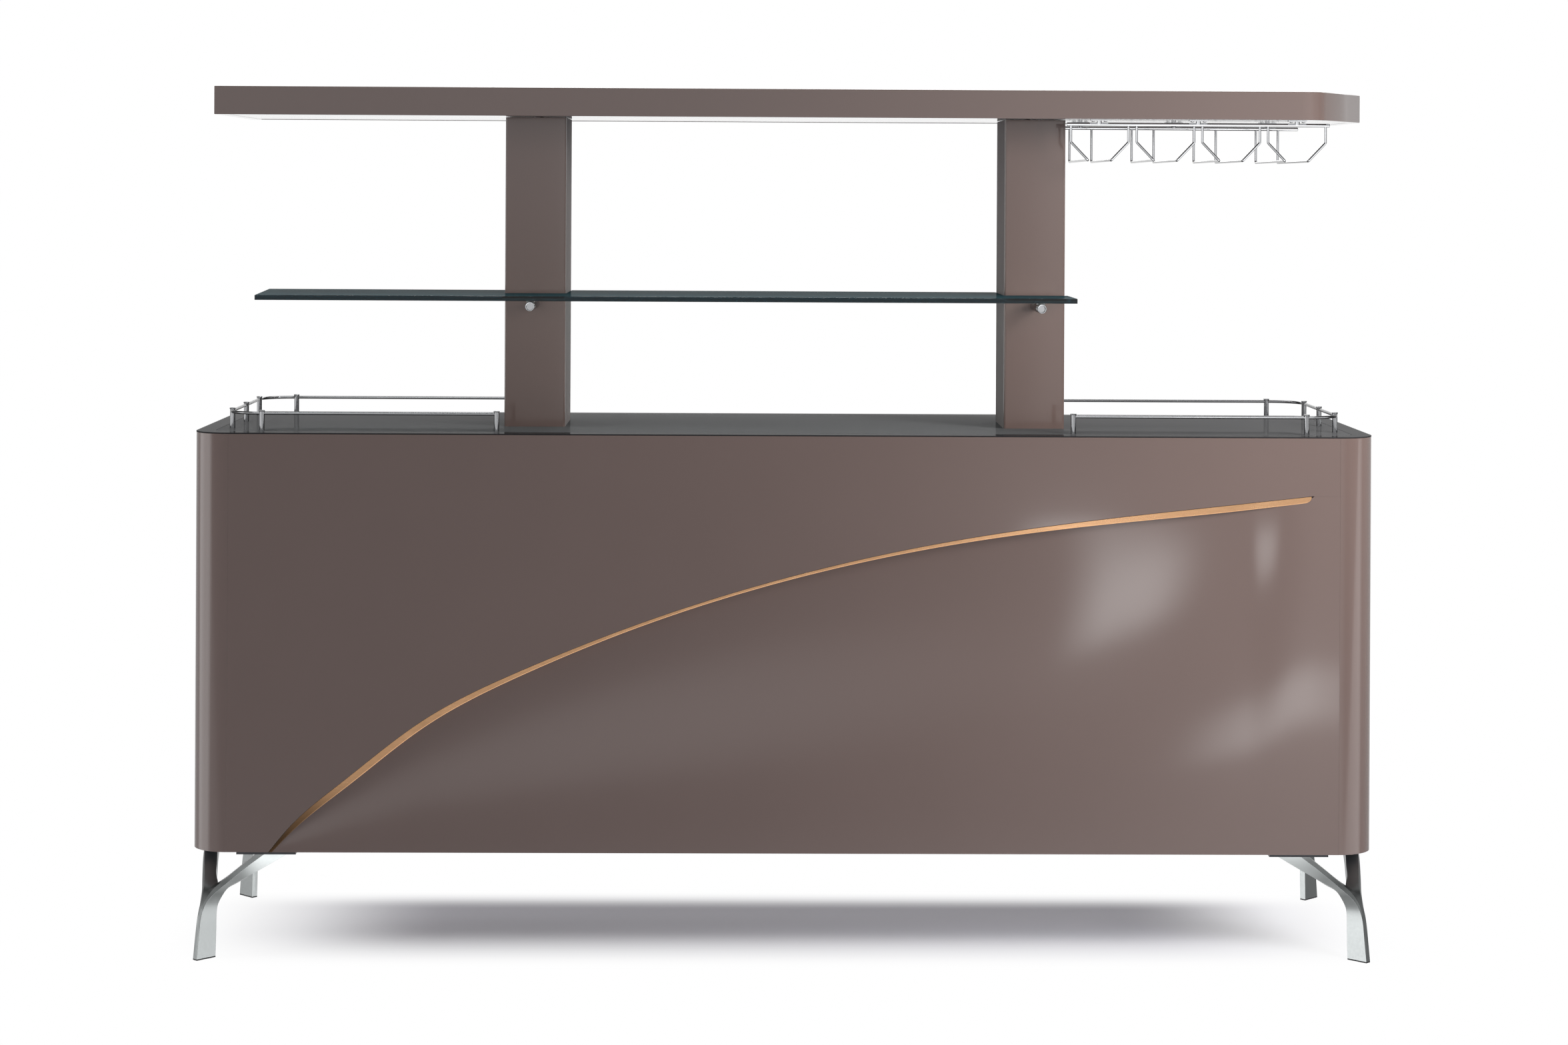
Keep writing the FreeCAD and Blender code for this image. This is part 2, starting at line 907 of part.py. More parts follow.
def canopy_plate(inset, z0, z1):
    """Return the canopy's outline as a plate, drawn in by an inset."""
    left = inset - canopy_left_reach
    right = canopy_right_reach - inset
    front = canopy_face + inset
    rear = canopy_rear - inset
    sweep = math.hypot(canopy_sweep_width, canopy_sweep_depth)
    along = vec(canopy_sweep_width / sweep, canopy_sweep_depth / sweep, 0)
    bend_x = canopy_right_reach - canopy_sweep_width
    bend_x = bend_x - inset * (sweep - canopy_sweep_width) / canopy_sweep_depth
    tip_y = canopy_face + canopy_sweep_depth
    tip_y = tip_y + inset * (sweep - canopy_sweep_depth) / canopy_sweep_width
    bend = vec(bend_x, front, z0)
    tip = vec(right, tip_y, z0)
    rounding = Part.BezierCurve()
    rounding.setPoles([
        bend - vec(canopy_bend_length, 0, 0), bend, bend + along * canopy_bend_length
    ])
    outline = path_wire([
        straight(vec(left, front, z0), bend - vec(canopy_bend_length, 0, 0)),
        rounding.toShape(),
        straight(bend + along * canopy_bend_length, tip),
        straight(tip, vec(right, rear, z0)),
        straight(vec(right, rear, z0), vec(left, rear, z0)),
        straight(vec(left, rear, z0), vec(left, front, z0)),
    ])
    return Part.Face(outline).extrude(vec(0, 0, z1 - z0))


def canopy_shell():
    """Return the canopy's upper shell with a solid block over each upright."""
    shell = canopy_plate(0, canopy_underside_height, canopy_top)
    hollow = canopy_plate(canopy_wall, canopy_underside_height, canopy_ceiling)
    blocks = [
        box(
            side * upright_centre - upright_width / 2,
            side * upright_centre + upright_width / 2,
            upright_face, upright_rear,
            canopy_panel_top, canopy_ceiling,
        )
        for side in (-1, 1)
    ]
    shell = shell.cut(cut_all(hollow, blocks))
    holes = [
        upright_rod(x, y, canopy_panel_top, tie_rod_top(), rod_radius)
        for x, y in upright_rod_places()
    ]
    return cut_all(shell, holes)


def canopy_underside():
    """Return the panel that closes the canopy from below."""
    panel = canopy_plate(
        canopy_wall + fit_gap, canopy_underside_height, canopy_panel_top
    )
    holes = [
        upright_rod(x, y, canopy_underside_height, canopy_panel_top, rod_radius)
        for x, y in upright_rod_places()
    ]
    return cut_all(panel, holes + rack_screw_shanks())


# Glass shelf

def glass_shelf():
    """Return the shelf, open at the back round the left upright and cut at the right one."""
    right = upright_centre + upright_width / 2 + shelf_end_margin
    corners = [
        vec(-shelf_left_reach, shelf_face, shelf_bottom),
        vec(right, shelf_face, shelf_bottom),
        vec(right, upright_rear, shelf_bottom),
        vec(-shelf_left_reach - shelf_splay, upright_rear, shelf_bottom),
        vec(-shelf_left_reach, shelf_face, shelf_bottom),
    ]
    sheet = Part.Face(Part.makePolygon(corners)).extrude(vec(0, 0, shelf_thickness))
    half = upright_width / 2 + shelf_notch_gap
    notch = box(
        -upright_centre - half, half - upright_centre,
        upright_face - shelf_notch_gap, upright_rear + overrun,
        shelf_bottom, shelf_top_height,
    )
    corner = box(
        upright_centre - half, right + overrun,
        upright_face - shelf_notch_gap, upright_rear + overrun,
        shelf_bottom, shelf_top_height,
    )
    return cut_all(sheet, [notch, corner])


def shelf_support(side):
    """Return a tube that stands out of the upright's face, closed a little way in."""
    rear = upright_face + support_insert
    front = upright_face - support_length
    outside = rod(
        vec(upright_centre, front, support_height),
        vec(upright_centre, rear, support_height),
        support_radius,
    )
    bore = rod(
        vec(upright_centre, front, support_height),
        vec(upright_centre, rear, support_height),
        support_radius - support_wall,
    )
    plug = rod(
        vec(upright_centre, front + support_recess, support_height),
        vec(upright_centre, front + support_recess + support_plug, support_height),
        support_radius - support_wall,
    )
    return on_side(fuse_all([outside.cut(bore), plug]), side)


def shelf_pads():
    """Return the clear pads between the tubes and the glass."""
    front = upright_face - support_length
    starts = [front + pad_margin, upright_face - pad_margin - pad_length]
    pads = []
    for y in starts:
        pad = box(
            upright_centre - pad_width / 2, upright_centre + pad_width / 2,
            y, y + pad_length,
            shelf_bottom - pad_height - pad_saddle, shelf_bottom,
        )
        tube = rod(
            vec(upright_centre, front, support_height),
            vec(upright_centre, upright_face, support_height),
            support_radius,
        )
        pads.append(pad.cut(tube))
    return Part.makeCompound(pads + [mirrored(pad) for pad in pads])


# Gallery rails

def gallery_path():
    """Return the right rail's centre line as a wire."""
    z = counter_height + gallery_rod_height
    x0 = gallery_inner_reach
    x1 = half_width - gallery_inset
    y1 = half_depth - gallery_inset
    radius = gallery_corner_radius
    middle = radius * math.sqrt(2) / 2
    front_arc = Part.Arc(
        vec(x1 - radius, -y1, z),
        vec(x1 - radius + middle, radius - middle - y1, z),
        vec(x1, radius - y1, z),
    )
    rear_arc = Part.Arc(
        vec(x1, y1 - radius, z),
        vec(x1 - radius + middle, y1 - radius + middle, z),
        vec(x1 - radius, y1, z),
    )
    return path_wire([
        straight(vec(x0, -y1, z), vec(x1 - radius, -y1, z)),
        front_arc.toShape(),
        straight(vec(x1, radius - y1, z), vec(x1, y1 - radius, z)),
        rear_arc.toShape(),
        straight(vec(x1 - radius, y1, z), vec(x0, y1, z)),
    ])


def gallery_rod(side):
    """Return one bent rod of the gallery."""
    z = counter_height + gallery_rod_height
    start = vec(gallery_inner_reach, gallery_inset - half_depth, z)
    ring = Part.Circle(start, vec(1, 0, 0), gallery_rod_radius).toShape()
    bent = gallery_path().makePipeShell([Part.Wire([ring])], True, False)
    return on_side(bent, side)


def post_places():
    """Return the plan places of the right wing's posts."""
    x1 = half_width - gallery_inset
    y1 = half_depth - gallery_inset
    corner_x = x1 - post_corner_offset
    side_y = y1 - post_corner_offset
    return [
        (gallery_inner_reach, -y1),
        (corner_x, -y1),
        (x1, -side_y),
        (x1, 0),
        (x1, side_y),
        (corner_x, y1),
        (gallery_inner_reach, y1),
    ]


def gallery_posts():
    """Return all posts, drilled for the rods."""
    posts = []
    bent = gallery_rod(1)
    for x, y in post_places():
        foot = counter_height
        stem = upright_rod(x, y, foot, foot + post_height, post_radius)
        cap = upright_rod(
            x, y, foot + post_height - post_cap_height, foot + post_height, post_cap_radius
        )
        posts.append(fuse_all([stem, cap]).cut(bent))
    return Part.makeCompound(posts + [mirrored(post) for post in posts])


# Stemware rack

def rack_bar(y):
    """Return one cross bar of the rack without its lugs."""
    end = rack_start + rack_pitch * rack_channels
    return rod(vec(rack_start, y, rack_bar_height), vec(end, y, rack_bar_height), rack_bar_radius)


def rack_lug_places():
    """Return the plan places of the lugs that hold the bars."""
    end = rack_start + rack_pitch * rack_channels
    middle = (rack_start + end) / 2
    return [
        (x, y)
        for y in (rack_face, rack_rear)
        for x in (rack_start + lug_inset, middle, end - lug_inset)
    ]


def rack_screw_places():
    """Return the plan places of the rack's screws."""
    return [
        (x + end * rack_screw_spacing / 2, y)
        for x, y in rack_lug_places()
        for end in (-1, 1)
    ]


def rack_screw_shanks():
    """Return the shanks of the rack's screws."""
    z0 = canopy_underside_height - lug_thickness
    return [
        upright_rod(x, y, z0, z0 + rack_screw_length, rack_screw_radius)
        for x, y in rack_screw_places()
    ]


def rack_screws():
    """Return the screws that hold the lugs to the canopy."""
    z0 = canopy_underside_height - lug_thickness
    screws = []
    for (x, y), shank in zip(rack_screw_places(), rack_screw_shanks()):
        head = upright_rod(x, y, z0 - rack_screw_head_height, z0, rack_screw_head_radius)
        screws.append(fuse_all([head, shank]))
    return Part.makeCompound(screws)


def rack_bars():
    """Return the two cross bars with their lugs."""
    z0 = canopy_underside_height - lug_thickness
    bars = []
    for y in (rack_face, rack_rear):
        pieces = [rack_bar(y)]
        for x, place_y in rack_lug_places():
            if place_y != y:
                continue
            pieces.append(upright_rod(x, y, rack_bar_height, z0, lug_post_radius))
            pieces.append(box(
                x - lug_length / 2, x + lug_length / 2,
                y - lug_width / 2, y + lug_width / 2,
                z0, canopy_underside_height,
            ))
        bars.append(cut_all(fuse_all(pieces), rack_screw_shanks()))
    return Part.makeCompound(bars)


def rack_wire(centre, side):
    """Return one bent wire of a channel."""
    mouth = centre + side * rack_mouth / 2
    rail = centre + side * (rack_slot / 2 + rack_wire_radius)
    knee = rack_bar_height - rack_fall
    low = knee - rack_slope_fall
    points = [
        vec(mouth, rack_face, rack_bar_height),
        vec(mouth, rack_face, knee),
        vec(rail, rack_face, low),
        vec(rail, rack_rear, low),
        vec(rail, rack_rear, rack_bar_height),
    ]
    pieces = [
        rod(start, end, rack_wire_radius) for start, end in zip(points, points[1:])
    ]
    for point in points[1:-1]:
        pieces.append(Part.makeSphere(rack_wire_radius, point))
    return cut_all(fuse_all(pieces), [rack_bar(rack_face), rack_bar(rack_rear)])


def rack_channel(number):
    """Return the two wires of one channel."""
    centre = rack_start + rack_pitch * (number + 1 / 2)
    return Part.makeCompound([rack_wire(centre, side) for side in (-1, 1)])


# Legs

def place_corner(shape, side_x, side_y):
    """Return a shape drawn from the front left corner as it sits at another corner."""
    placed = shape.copy()
    placed.translate(vec(-half_width, -half_depth, 0))
    if side_x > 0:
        placed = placed.mirror(vec(0, 0, 0), vec(1, 0, 0))
    if side_y > 0:
        placed = placed.mirror(vec(0, 0, 0), vec(0, 1, 0))
    return placed


def at_corners(shapes):
    """Return shapes repeated at all four corners."""
    return [
        place_corner(shape, side_x, side_y)
        for side_x in (-1, 1)
        for side_y in (-1, 1)
        for shape in shapes
    ]


def swapped(shape):
    """Return a corner shape with its two directions swapped."""
    return shape.mirror(vec(0, 0, 0), vec(1, -1, 0))


def foot_point(turn, share):
    """Return a point of the foot's lower outline, along and across the corner's diagonal."""
    along = foot_length / 2 / math.sqrt(2) * turn
    across = foot_thickness / 2 / math.sqrt(2) * share
    return vec(foot_centre + along + across, foot_centre + along - across, glide_thickness)


def half_leg_points():
    """Return the points of the five long edges of half a leg, from the floor upward."""
    columns = [
        (foot_point(-1, 1), leg_ridge_shares),
        (foot_point(-1, foot_crest_share), leg_crest_shares),
        (foot_point(-1, -foot_overlap_share), leg_inner_crest_shares),
        (foot_point(1, -foot_overlap_share), leg_inner_lower_shares),
        (foot_point(1, 1), leg_outer_lower_shares),
    ]
    return [
        [start] + [vec(leg_reach * u, leg_reach * v, leg_top * z) for u, v, z in shares]
        for start, shares in columns
    ]


def half_leg_edges():
    """Return the five long edges, all with their points at the same parameters."""
    columns = half_leg_points()
    places = [0]
    for number in range(1, len(columns[0])):
        steps = [(column[number] - column[number - 1]).Length for column in columns]
        places.append(places[-1] + sum(steps))
    edges = []
    for column in columns:
        line = Part.BSplineCurve()
        line.interpolate(Points=column, Parameters=[place / places[-1] for place in places])
        edges.append(line.toShape())
    return edges


def half_leg():
    """Return the half of a leg on the front's side of the corner's diagonal."""
    edges = half_leg_edges()
    columns = half_leg_points()
    faces = [Part.makeRuledSurface(edge, edges[number - 1]) for number, edge in enumerate(edges)]
    for end in (0, -1):
        ring = [column[end] for column in columns]
        faces.append(Part.Face(Part.makePolygon(ring + ring[:1])))
    shell = Part.Shell(faces)
    shell.sewShape()
    solid = Part.Solid(shell)
    if solid.Volume < 0:
        solid.reverse()
    far = 2 * leg_reach
    beyond = Part.makePolygon([
        vec(-far, -far, 0), vec(far, far, 0), vec(-far, far, 0), vec(-far, -far, 0)
    ])
    return solid.cut(Part.Face(beyond).extrude(vec(0, 0, floor_clearance)))


def leg_screw_places():
    """Return the plan places of a leg's two screws."""
    return [(leg_screw_reach, leg_screw_offset), (leg_screw_offset, leg_screw_reach)]


def leg_screw_shape(x, y):
    """Return one leg screw."""
    seat = leg_top - leg_screw_seat
    head = upright_rod(x, y, seat - leg_screw_head_height, seat, leg_screw_head_radius)
    shank = upright_rod(x, y, seat, floor_clearance + leg_screw_insert, leg_screw_radius)
    return fuse_all([head, shank])


def leg_screw_shanks():
    """Return the room that the leg screws take in the plates and the floor board."""
    return at_corners([leg_screw_shape(x, y) for x, y in leg_screw_places()])


def leg_screws():
    """Return all leg screws."""
    return Part.makeCompound(leg_screw_shanks())


def leg(side_x, side_y):
    """Return one leg: a flat foot that opens into two arms, which sweep up to the plates."""
    half = half_leg()
    shape = fuse_all([half, swapped(half)])
    tools = []
    for x, y in leg_screw_places():
        tools.append(upright_rod(
            x, y, 0, leg_top - leg_screw_seat, leg_screw_head_radius + leg_screw_recess_gap
        ))
        tools.append(upright_rod(x, y, 0, leg_top, leg_screw_radius))
    return place_corner(cut_all(shape, tools), side_x, side_y)


def leg_mounting_plates():
    """Return the dark plates between the legs and the floor board."""
    plate = box(
        plate_start, plate_end, plate_margin, plate_margin + plate_width,
        leg_top, floor_clearance,
    )
    plates = at_corners([plate, swapped(plate)])
    return Part.makeCompound([cut_all(shape, leg_screw_shanks()) for shape in plates])


def foot_glides():
    """Return the pads under the feet."""
    corners = [foot_point(turn, share) for turn, share in ((-1, 1), (-1, -1), (1, -1), (1, 1))]
    face = Part.Face(Part.makePolygon(corners + corners[:1]))
    return Part.makeCompound(at_corners([face.extrude(vec(0, 0, -glide_thickness))]))


# The whole piece

def all_nodes():
    """Return every node of the model by name."""
    upper_front, trim, scooped = front_pieces()
    nodes = {
        "bottom_panel": bottom_panel(),
        "top_panel": top_panel(),
        "front_upper_panel": upper_front,
        "front_scoop_panel": scooped,
        "front_trim": trim,
        "drawer_divider": drawer_divider(),
        "shelf_pins": shelf_pins(),
        "countertop_frame": countertop_frame(),
        "countertop_glass": countertop_glass(),
        "upright_tie_rods": upright_tie_rods(),
        "tie_rod_nuts": tie_rod_nuts(),
        "canopy_shell": canopy_shell(),
        "canopy_underside": canopy_underside(),
        "glass_shelf": glass_shelf(),
        "shelf_pads": shelf_pads(),
        "gallery_posts": gallery_posts(),
        "rack_bars": rack_bars(),
        "rack_screws": rack_screws(),
        "leg_mounting_plates": leg_mounting_plates(),
        "leg_screws": leg_screws(),
        "foot_glides": foot_glides(),
        "door_pivot_pins": door_pivot_pins(),
        "pivot_washers": pivot_washers(),
        "magnet_catches": magnet_catches(),
        "drawer_front": drawer_front(),
        "drawer_box": drawer_box(),
        "drawer_bottom": drawer_tray(fit_gap),
        "drawer_pull": drawer_pull(),
        "drawer_inner_runners": both_sides(inner_runner()),
        "drawer_outer_runners": both_sides(outer_runner()),
    }
    for word, side in (("left", -1), ("right", 1)):
        nodes[word + "_side_shell"] = side_shell(side)
        nodes[word + "_partition"] = partition(side)
        nodes[word + "_bay_shelf"] = bay_shelf(side)
        nodes[word + "_upright"] = upright(side)
        nodes[word + "_shelf_support"] = shelf_support(side)
        nodes[word + "_gallery_rod"] = gallery_rod(side)
        nodes[word + "_door"] = door(side)
        nodes[word + "_door_pull"] = door_pull(side)
        nodes[word + "_door_bushes"] = door_bushes(side)
        nodes[word + "_strike_plate"] = strike_plate(side)
        nodes["front_" + word + "_leg"] = leg(side, -1)
        nodes["rear_" + word + "_leg"] = leg(side, 1)
    for number in range(rack_channels):
        nodes["rack_channel_" + str(number + 1)] = rack_channel(number)
    return nodes


os.makedirs("parts", exist_ok=True)
for name, shape in all_nodes().items():
    centred = shape.copy()
    centred.translate(vec(centring_shift, 0, 0))
    centred.exportStep("parts/" + name + ".step")
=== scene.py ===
"""Dressed model of the bar sideboard: its visible pieces, finishes, lights and camera."""

import json
import logging
import math
from dataclasses import dataclass, field
from enum import Enum
from functools import reduce

import bmesh
import bpy
import numpy as np
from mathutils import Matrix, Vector

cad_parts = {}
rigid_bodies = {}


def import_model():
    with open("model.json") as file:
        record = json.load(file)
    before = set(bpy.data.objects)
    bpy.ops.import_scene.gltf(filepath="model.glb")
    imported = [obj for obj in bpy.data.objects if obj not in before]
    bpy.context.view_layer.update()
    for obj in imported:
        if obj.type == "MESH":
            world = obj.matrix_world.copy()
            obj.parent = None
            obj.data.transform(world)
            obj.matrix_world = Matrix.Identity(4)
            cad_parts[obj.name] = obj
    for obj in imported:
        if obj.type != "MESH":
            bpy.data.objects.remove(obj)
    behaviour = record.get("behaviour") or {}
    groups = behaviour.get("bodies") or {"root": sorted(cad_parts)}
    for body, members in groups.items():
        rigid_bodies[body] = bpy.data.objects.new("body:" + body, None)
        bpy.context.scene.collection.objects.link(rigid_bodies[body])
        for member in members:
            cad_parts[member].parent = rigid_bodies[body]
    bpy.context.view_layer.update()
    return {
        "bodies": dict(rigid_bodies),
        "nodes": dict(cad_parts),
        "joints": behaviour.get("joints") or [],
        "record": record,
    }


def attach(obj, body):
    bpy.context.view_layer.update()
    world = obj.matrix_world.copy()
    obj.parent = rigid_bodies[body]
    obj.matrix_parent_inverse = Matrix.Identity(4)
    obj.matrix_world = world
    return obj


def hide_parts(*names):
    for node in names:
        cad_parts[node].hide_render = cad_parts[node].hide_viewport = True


log = logging.getLogger("bar_sideboard")

MM = 0.001
CENTRE_X = -7.5  # the counter's middle on the frame's X axis, in millimetres
POINT = 0.05  # the radius at which a turned piece closes in a point
STEEP = 0.9  # the share of its length that a path climbs before it counts as upright
SAME = 1e-6  # the distance in millimetres under which two places are one


class Body(Enum):
    """The four bodies that the pieces ride on."""

    CABINET = "cabinet"
    LEFT_DOOR = "left_door"
    RIGHT_DOOR = "right_door"
    DRAWER = "drawer"


class Side(Enum):
    """The two hands of a mirrored piece, as the sign of X."""

    LEFT = -1
    RIGHT = 1

    @property
    def word(self) -> str:
        """The side's name as it stands in node names."""
        return self.name.lower()


# Shapes as numpy surfaces


@dataclass
class Surface:
    """A closed surface: points in metres and faces as tuples of point numbers.

    Args:
        points: An n by 3 array.
        faces: One tuple of point numbers for each face.
        marks: The number of the finish that each face takes. Without marks it is the first.
    """

    points: np.ndarray
    faces: list
    marks: list = field(default_factory=list)

    def joined(self, other: "Surface") -> "Surface":
        """Return both surfaces as one, without marks.

        Args:
            other: The surface to add.
        """
        start = len(self.points)
        moved = [tuple(start + i for i in face) for face in other.faces]
        return Surface(np.vstack([self.points, other.points]), self.faces + moved)

    def on(self, side: Side) -> "Surface":
        """Return the surface mirrored to a side of the counter's middle plane.

        Args:
            side: The side on which the piece sits. Surfaces are drawn on the right.

        Returns:
            The same surface on the right, or its mirror image on the left.
        """
        if side is Side.RIGHT:
            return self
        points = self.points.copy()
        points[:, 0] = 2 * CENTRE_X * MM - points[:, 0]
        return Surface(points, [face[::-1] for face in self.faces], self.marks)


def merged(parts: list) -> Surface:
    """Return a list of surfaces as one."""
    return reduce(Surface.joined, parts)


def framed(points: object) -> np.ndarray:
    """Return points of the counter in millimetres as points of the frame in metres."""
    return (np.array(points) + np.array([CENTRE_X, 0, 0])) * MM


def loft(rings: np.ndarray, closed: bool = False) -> Surface:
    """Join rings of points: point (i, j) of the grid is point j of ring i.

    Args:
        rings: An array of rings by points by 3, in metres.
        closed: Whether the last ring joins the first. If not, both ends get a cap.

    Returns:
        The surface.
    """
    count, size = rings.shape[:2]
    faces = []
    for i in range(count if closed else count - 1):
        k = (i + 1) % count
        for j in range(size):
            m = (j + 1) % size
            faces.append((i * size + j, i * size + m, k * size + m, k * size + j))
    if not closed:
        faces.append(tuple(range(size))[::-1])
        faces.append(tuple((count - 1) * size + j for j in range(size)))
    return Surface(rings.reshape(-1, 3), faces)


def slab(outline: np.ndarray, low: float, high: float, axis: int = 2) -> Surface:
    """Raise a flat outline into a slab.

    Args:
        outline: An n by 2 array of millimetres in the plane across the axis.
        low: Where the slab starts along the axis.
        high: Where it ends.
        axis: 0, 1 or 2 for X, Y or Z.

    Returns:
        The slab, its sides marked 1 and its two flat faces marked 0.
    """
    rings = []
    for level in (low, high):
        columns = [outline[:, 0], outline[:, 1]]
        columns.insert(axis, np.full(len(outline), level))
        rings.append(np.column_stack(columns))
    made = loft(framed(rings))
    made.marks = [1] * len(outline) + [0, 0]
    return made


def rectangle(x0: float, x1: float, y0: float, y1: float) -> np.ndarray:
    """Return the corners of a rectangle between two places on each axis."""
    return np.array([[x0, y0], [x1, y0], [x1, y1], [x0, y1]])


def arc(cx: float, cy: float, radius: float, start: float, end: float, count: int) -> np.ndarray:
    """Return points on an arc, with angles in degrees from +X towards +Y."""
    turn = np.radians(np.linspace(start, end, count))
    return np.stack([cx + radius * np.cos(turn), cy + radius * np.sin(turn)], axis=1)


def round_rect(half_x: float, half_y: float, radius: float, steps: int) -> np.ndarray:
    """Return a centred rectangle with round corners, in millimetres."""
    cx, cy = half_x - radius, half_y - radius
    corners = ((cx, -cy, -90), (cx, cy, 0), (-cx, cy, 90), (-cx, -cy, 180))
    return np.vstack([arc(x, y, radius, turn, turn + 90, steps) for x, y, turn in corners])


def curve(start: np.ndarray, pull: np.ndarray, end: np.ndarray, count: int) -> np.ndarray:
    """Return points on the quadratic curve that a pulling point draws from start to end."""
    t = np.linspace(0, 1, count)[:, None]
    return (1 - t) ** 2 * start + 2 * t * (1 - t) * pull + t**2 * end


def spline(knots: np.ndarray, count: int) -> np.ndarray:
    """Return a natural cubic curve through knots, spaced by chord length.

    Each coordinate is a cubic in the length along the knots whose bend is nought at both ends.

    Args:
        knots: An n by m array.
        count: How many points to return.

    Returns:
        A count by m array that starts and ends at the outer knots.
    """
    steps = np.linalg.norm(np.diff(knots, axis=0), axis=1)
    place = np.concatenate([[0.0], np.cumsum(steps)])
    n = len(knots)
    system = np.eye(n)
    right = np.zeros_like(knots)
    for i in range(1, n - 1):
        before, after = steps[i - 1], steps[i]
        system[i, i - 1:i + 2] = before, 2 * (before + after), after
        right[i] = 6 * ((knots[i + 1] - knots[i]) / after - (knots[i] - knots[i - 1]) / before)
    bend = np.linalg.solve(system, right)
    where = np.linspace(0.0, place[-1], count)
    index = np.clip(np.searchsorted(place, where) - 1, 0, n - 2)
    h = steps[index][:, None]
    a = (place[index + 1] - where)[:, None] / h
    b = (where - place[index])[:, None] / h
    bent = ((a**3 - a) * bend[index] + (b**3 - b) * bend[index + 1]) * h**2 / 6
    return a * knots[index] + b * knots[index + 1] + bent


def rounded_path(corners: list, radius: float, steps: int = 8) -> np.ndarray:
    """Return a path through corners in which every inner corner is an even bend.

    Args:
        corners: Points in millimetres.
        radius: The bend's radius, made smaller where a leg is too short.
        steps: Points on each bend.

    Returns:
        The path's points in millimetres.
    """
    corners = [np.array(c, float) for c in corners]
    path = [corners[:1]]
    for before, here, after in zip(corners, corners[1:], corners[2:]):
        long_before, long_after = np.linalg.norm(before - here), np.linalg.norm(after - here)
        to_before, to_after = (before - here) / long_before, (after - here) / long_after
        half = math.acos(float(np.clip(to_before @ to_after, -1, 1))) / 2
        reach = min(radius / math.tan(half), long_before / 2, long_after / 2)
        path.append(curve(here + to_before * reach, here, here + to_after * reach, steps))
    return np.vstack(path + [corners[-1:]])


def sweep(path: np.ndarray, radius: float, around: int) -> Surface:
    """Carry a circle along a path without twist.

    Args:
        path: Points in millimetres on the counter's frame.
        radius: The circle's radius in millimetres.
        around: Points on the circle.

    Returns:
        A round bar with flat ends.
    """
    steps = np.diff(path, axis=0)
    steps /= np.linalg.norm(steps, axis=1)[:, None]
    tangent = np.vstack([steps, steps[-1:]]) + np.vstack([steps[:1], steps])
    tangent /= np.linalg.norm(tangent, axis=1)[:, None]
    upright = abs(tangent[0][2]) > STEEP
    across = np.array([0.0, 1.0, 0.0] if upright else [0.0, 0.0, 1.0])
    turn = np.linspace(0, 2 * math.pi, around, endpoint=False)[:, None]
    rings = []
    for point, direction in zip(path, tangent):
        across = across - direction * (across @ direction)
        across = across / np.linalg.norm(across)
        other = np.cross(direction, across)
        rings.append(point + radius * np.cos(turn) * across + radius * np.sin(turn) * other)
    return loft(framed(rings))


def turned(profile: tuple, base: tuple, axis: int = 2, around: int = 32) -> Surface:
    """Turn a profile about an axis.

    Args:
        profile: Pairs of radius and distance along the axis, in millimetres.
        base: The axis's starting point in millimetres.
        axis: 0, 1 or 2 for X, Y or Z.
        around: Points on each ring.

    Returns:
        The turned piece. A first and last radius of nearly nought close it in a point.
    """
    turn = np.linspace(0, 2 * math.pi, around, endpoint=False)
    rings = []
    for radius, along in profile:
        columns = [radius * np.cos(turn), radius * np.sin(turn)]
        columns.insert(axis, np.full(around, float(along)))
        rings.append(np.column_stack(columns) + np.array(base, float))
    return loft(framed(rings))


def pocket_plate(outer: tuple, pocket: tuple, y0: float, y1: float, floor: float) -> Surface:
    """Return an upright plate with a rectangular pocket in its rear face.

    Args:
        outer: x0, x1, z0, z1 of the plate in millimetres.
        pocket: The same four places of the pocket.
        y0: The plate's inner face.
        y1: The plate's rear face, in which the pocket opens.
        floor: The depth at which the pocket's floor lies.

    Returns:
        The plate.
    """
    rings = []
    for place, y in ((outer, y0), (outer, y1), (pocket, y1), (pocket, floor)):
        ring = rectangle(*place)
        rings.append(np.column_stack([ring[:, 0], np.full(len(ring), y), ring[:, 1]]))
    return loft(framed(rings))


# Finishes

FLOAT = "NodeSocketFloat"
VECTOR = "NodeSocketVector"
COLOR = "NodeSocketColor"
WHITE = (1.0, 1.0, 1.0, 1.0)


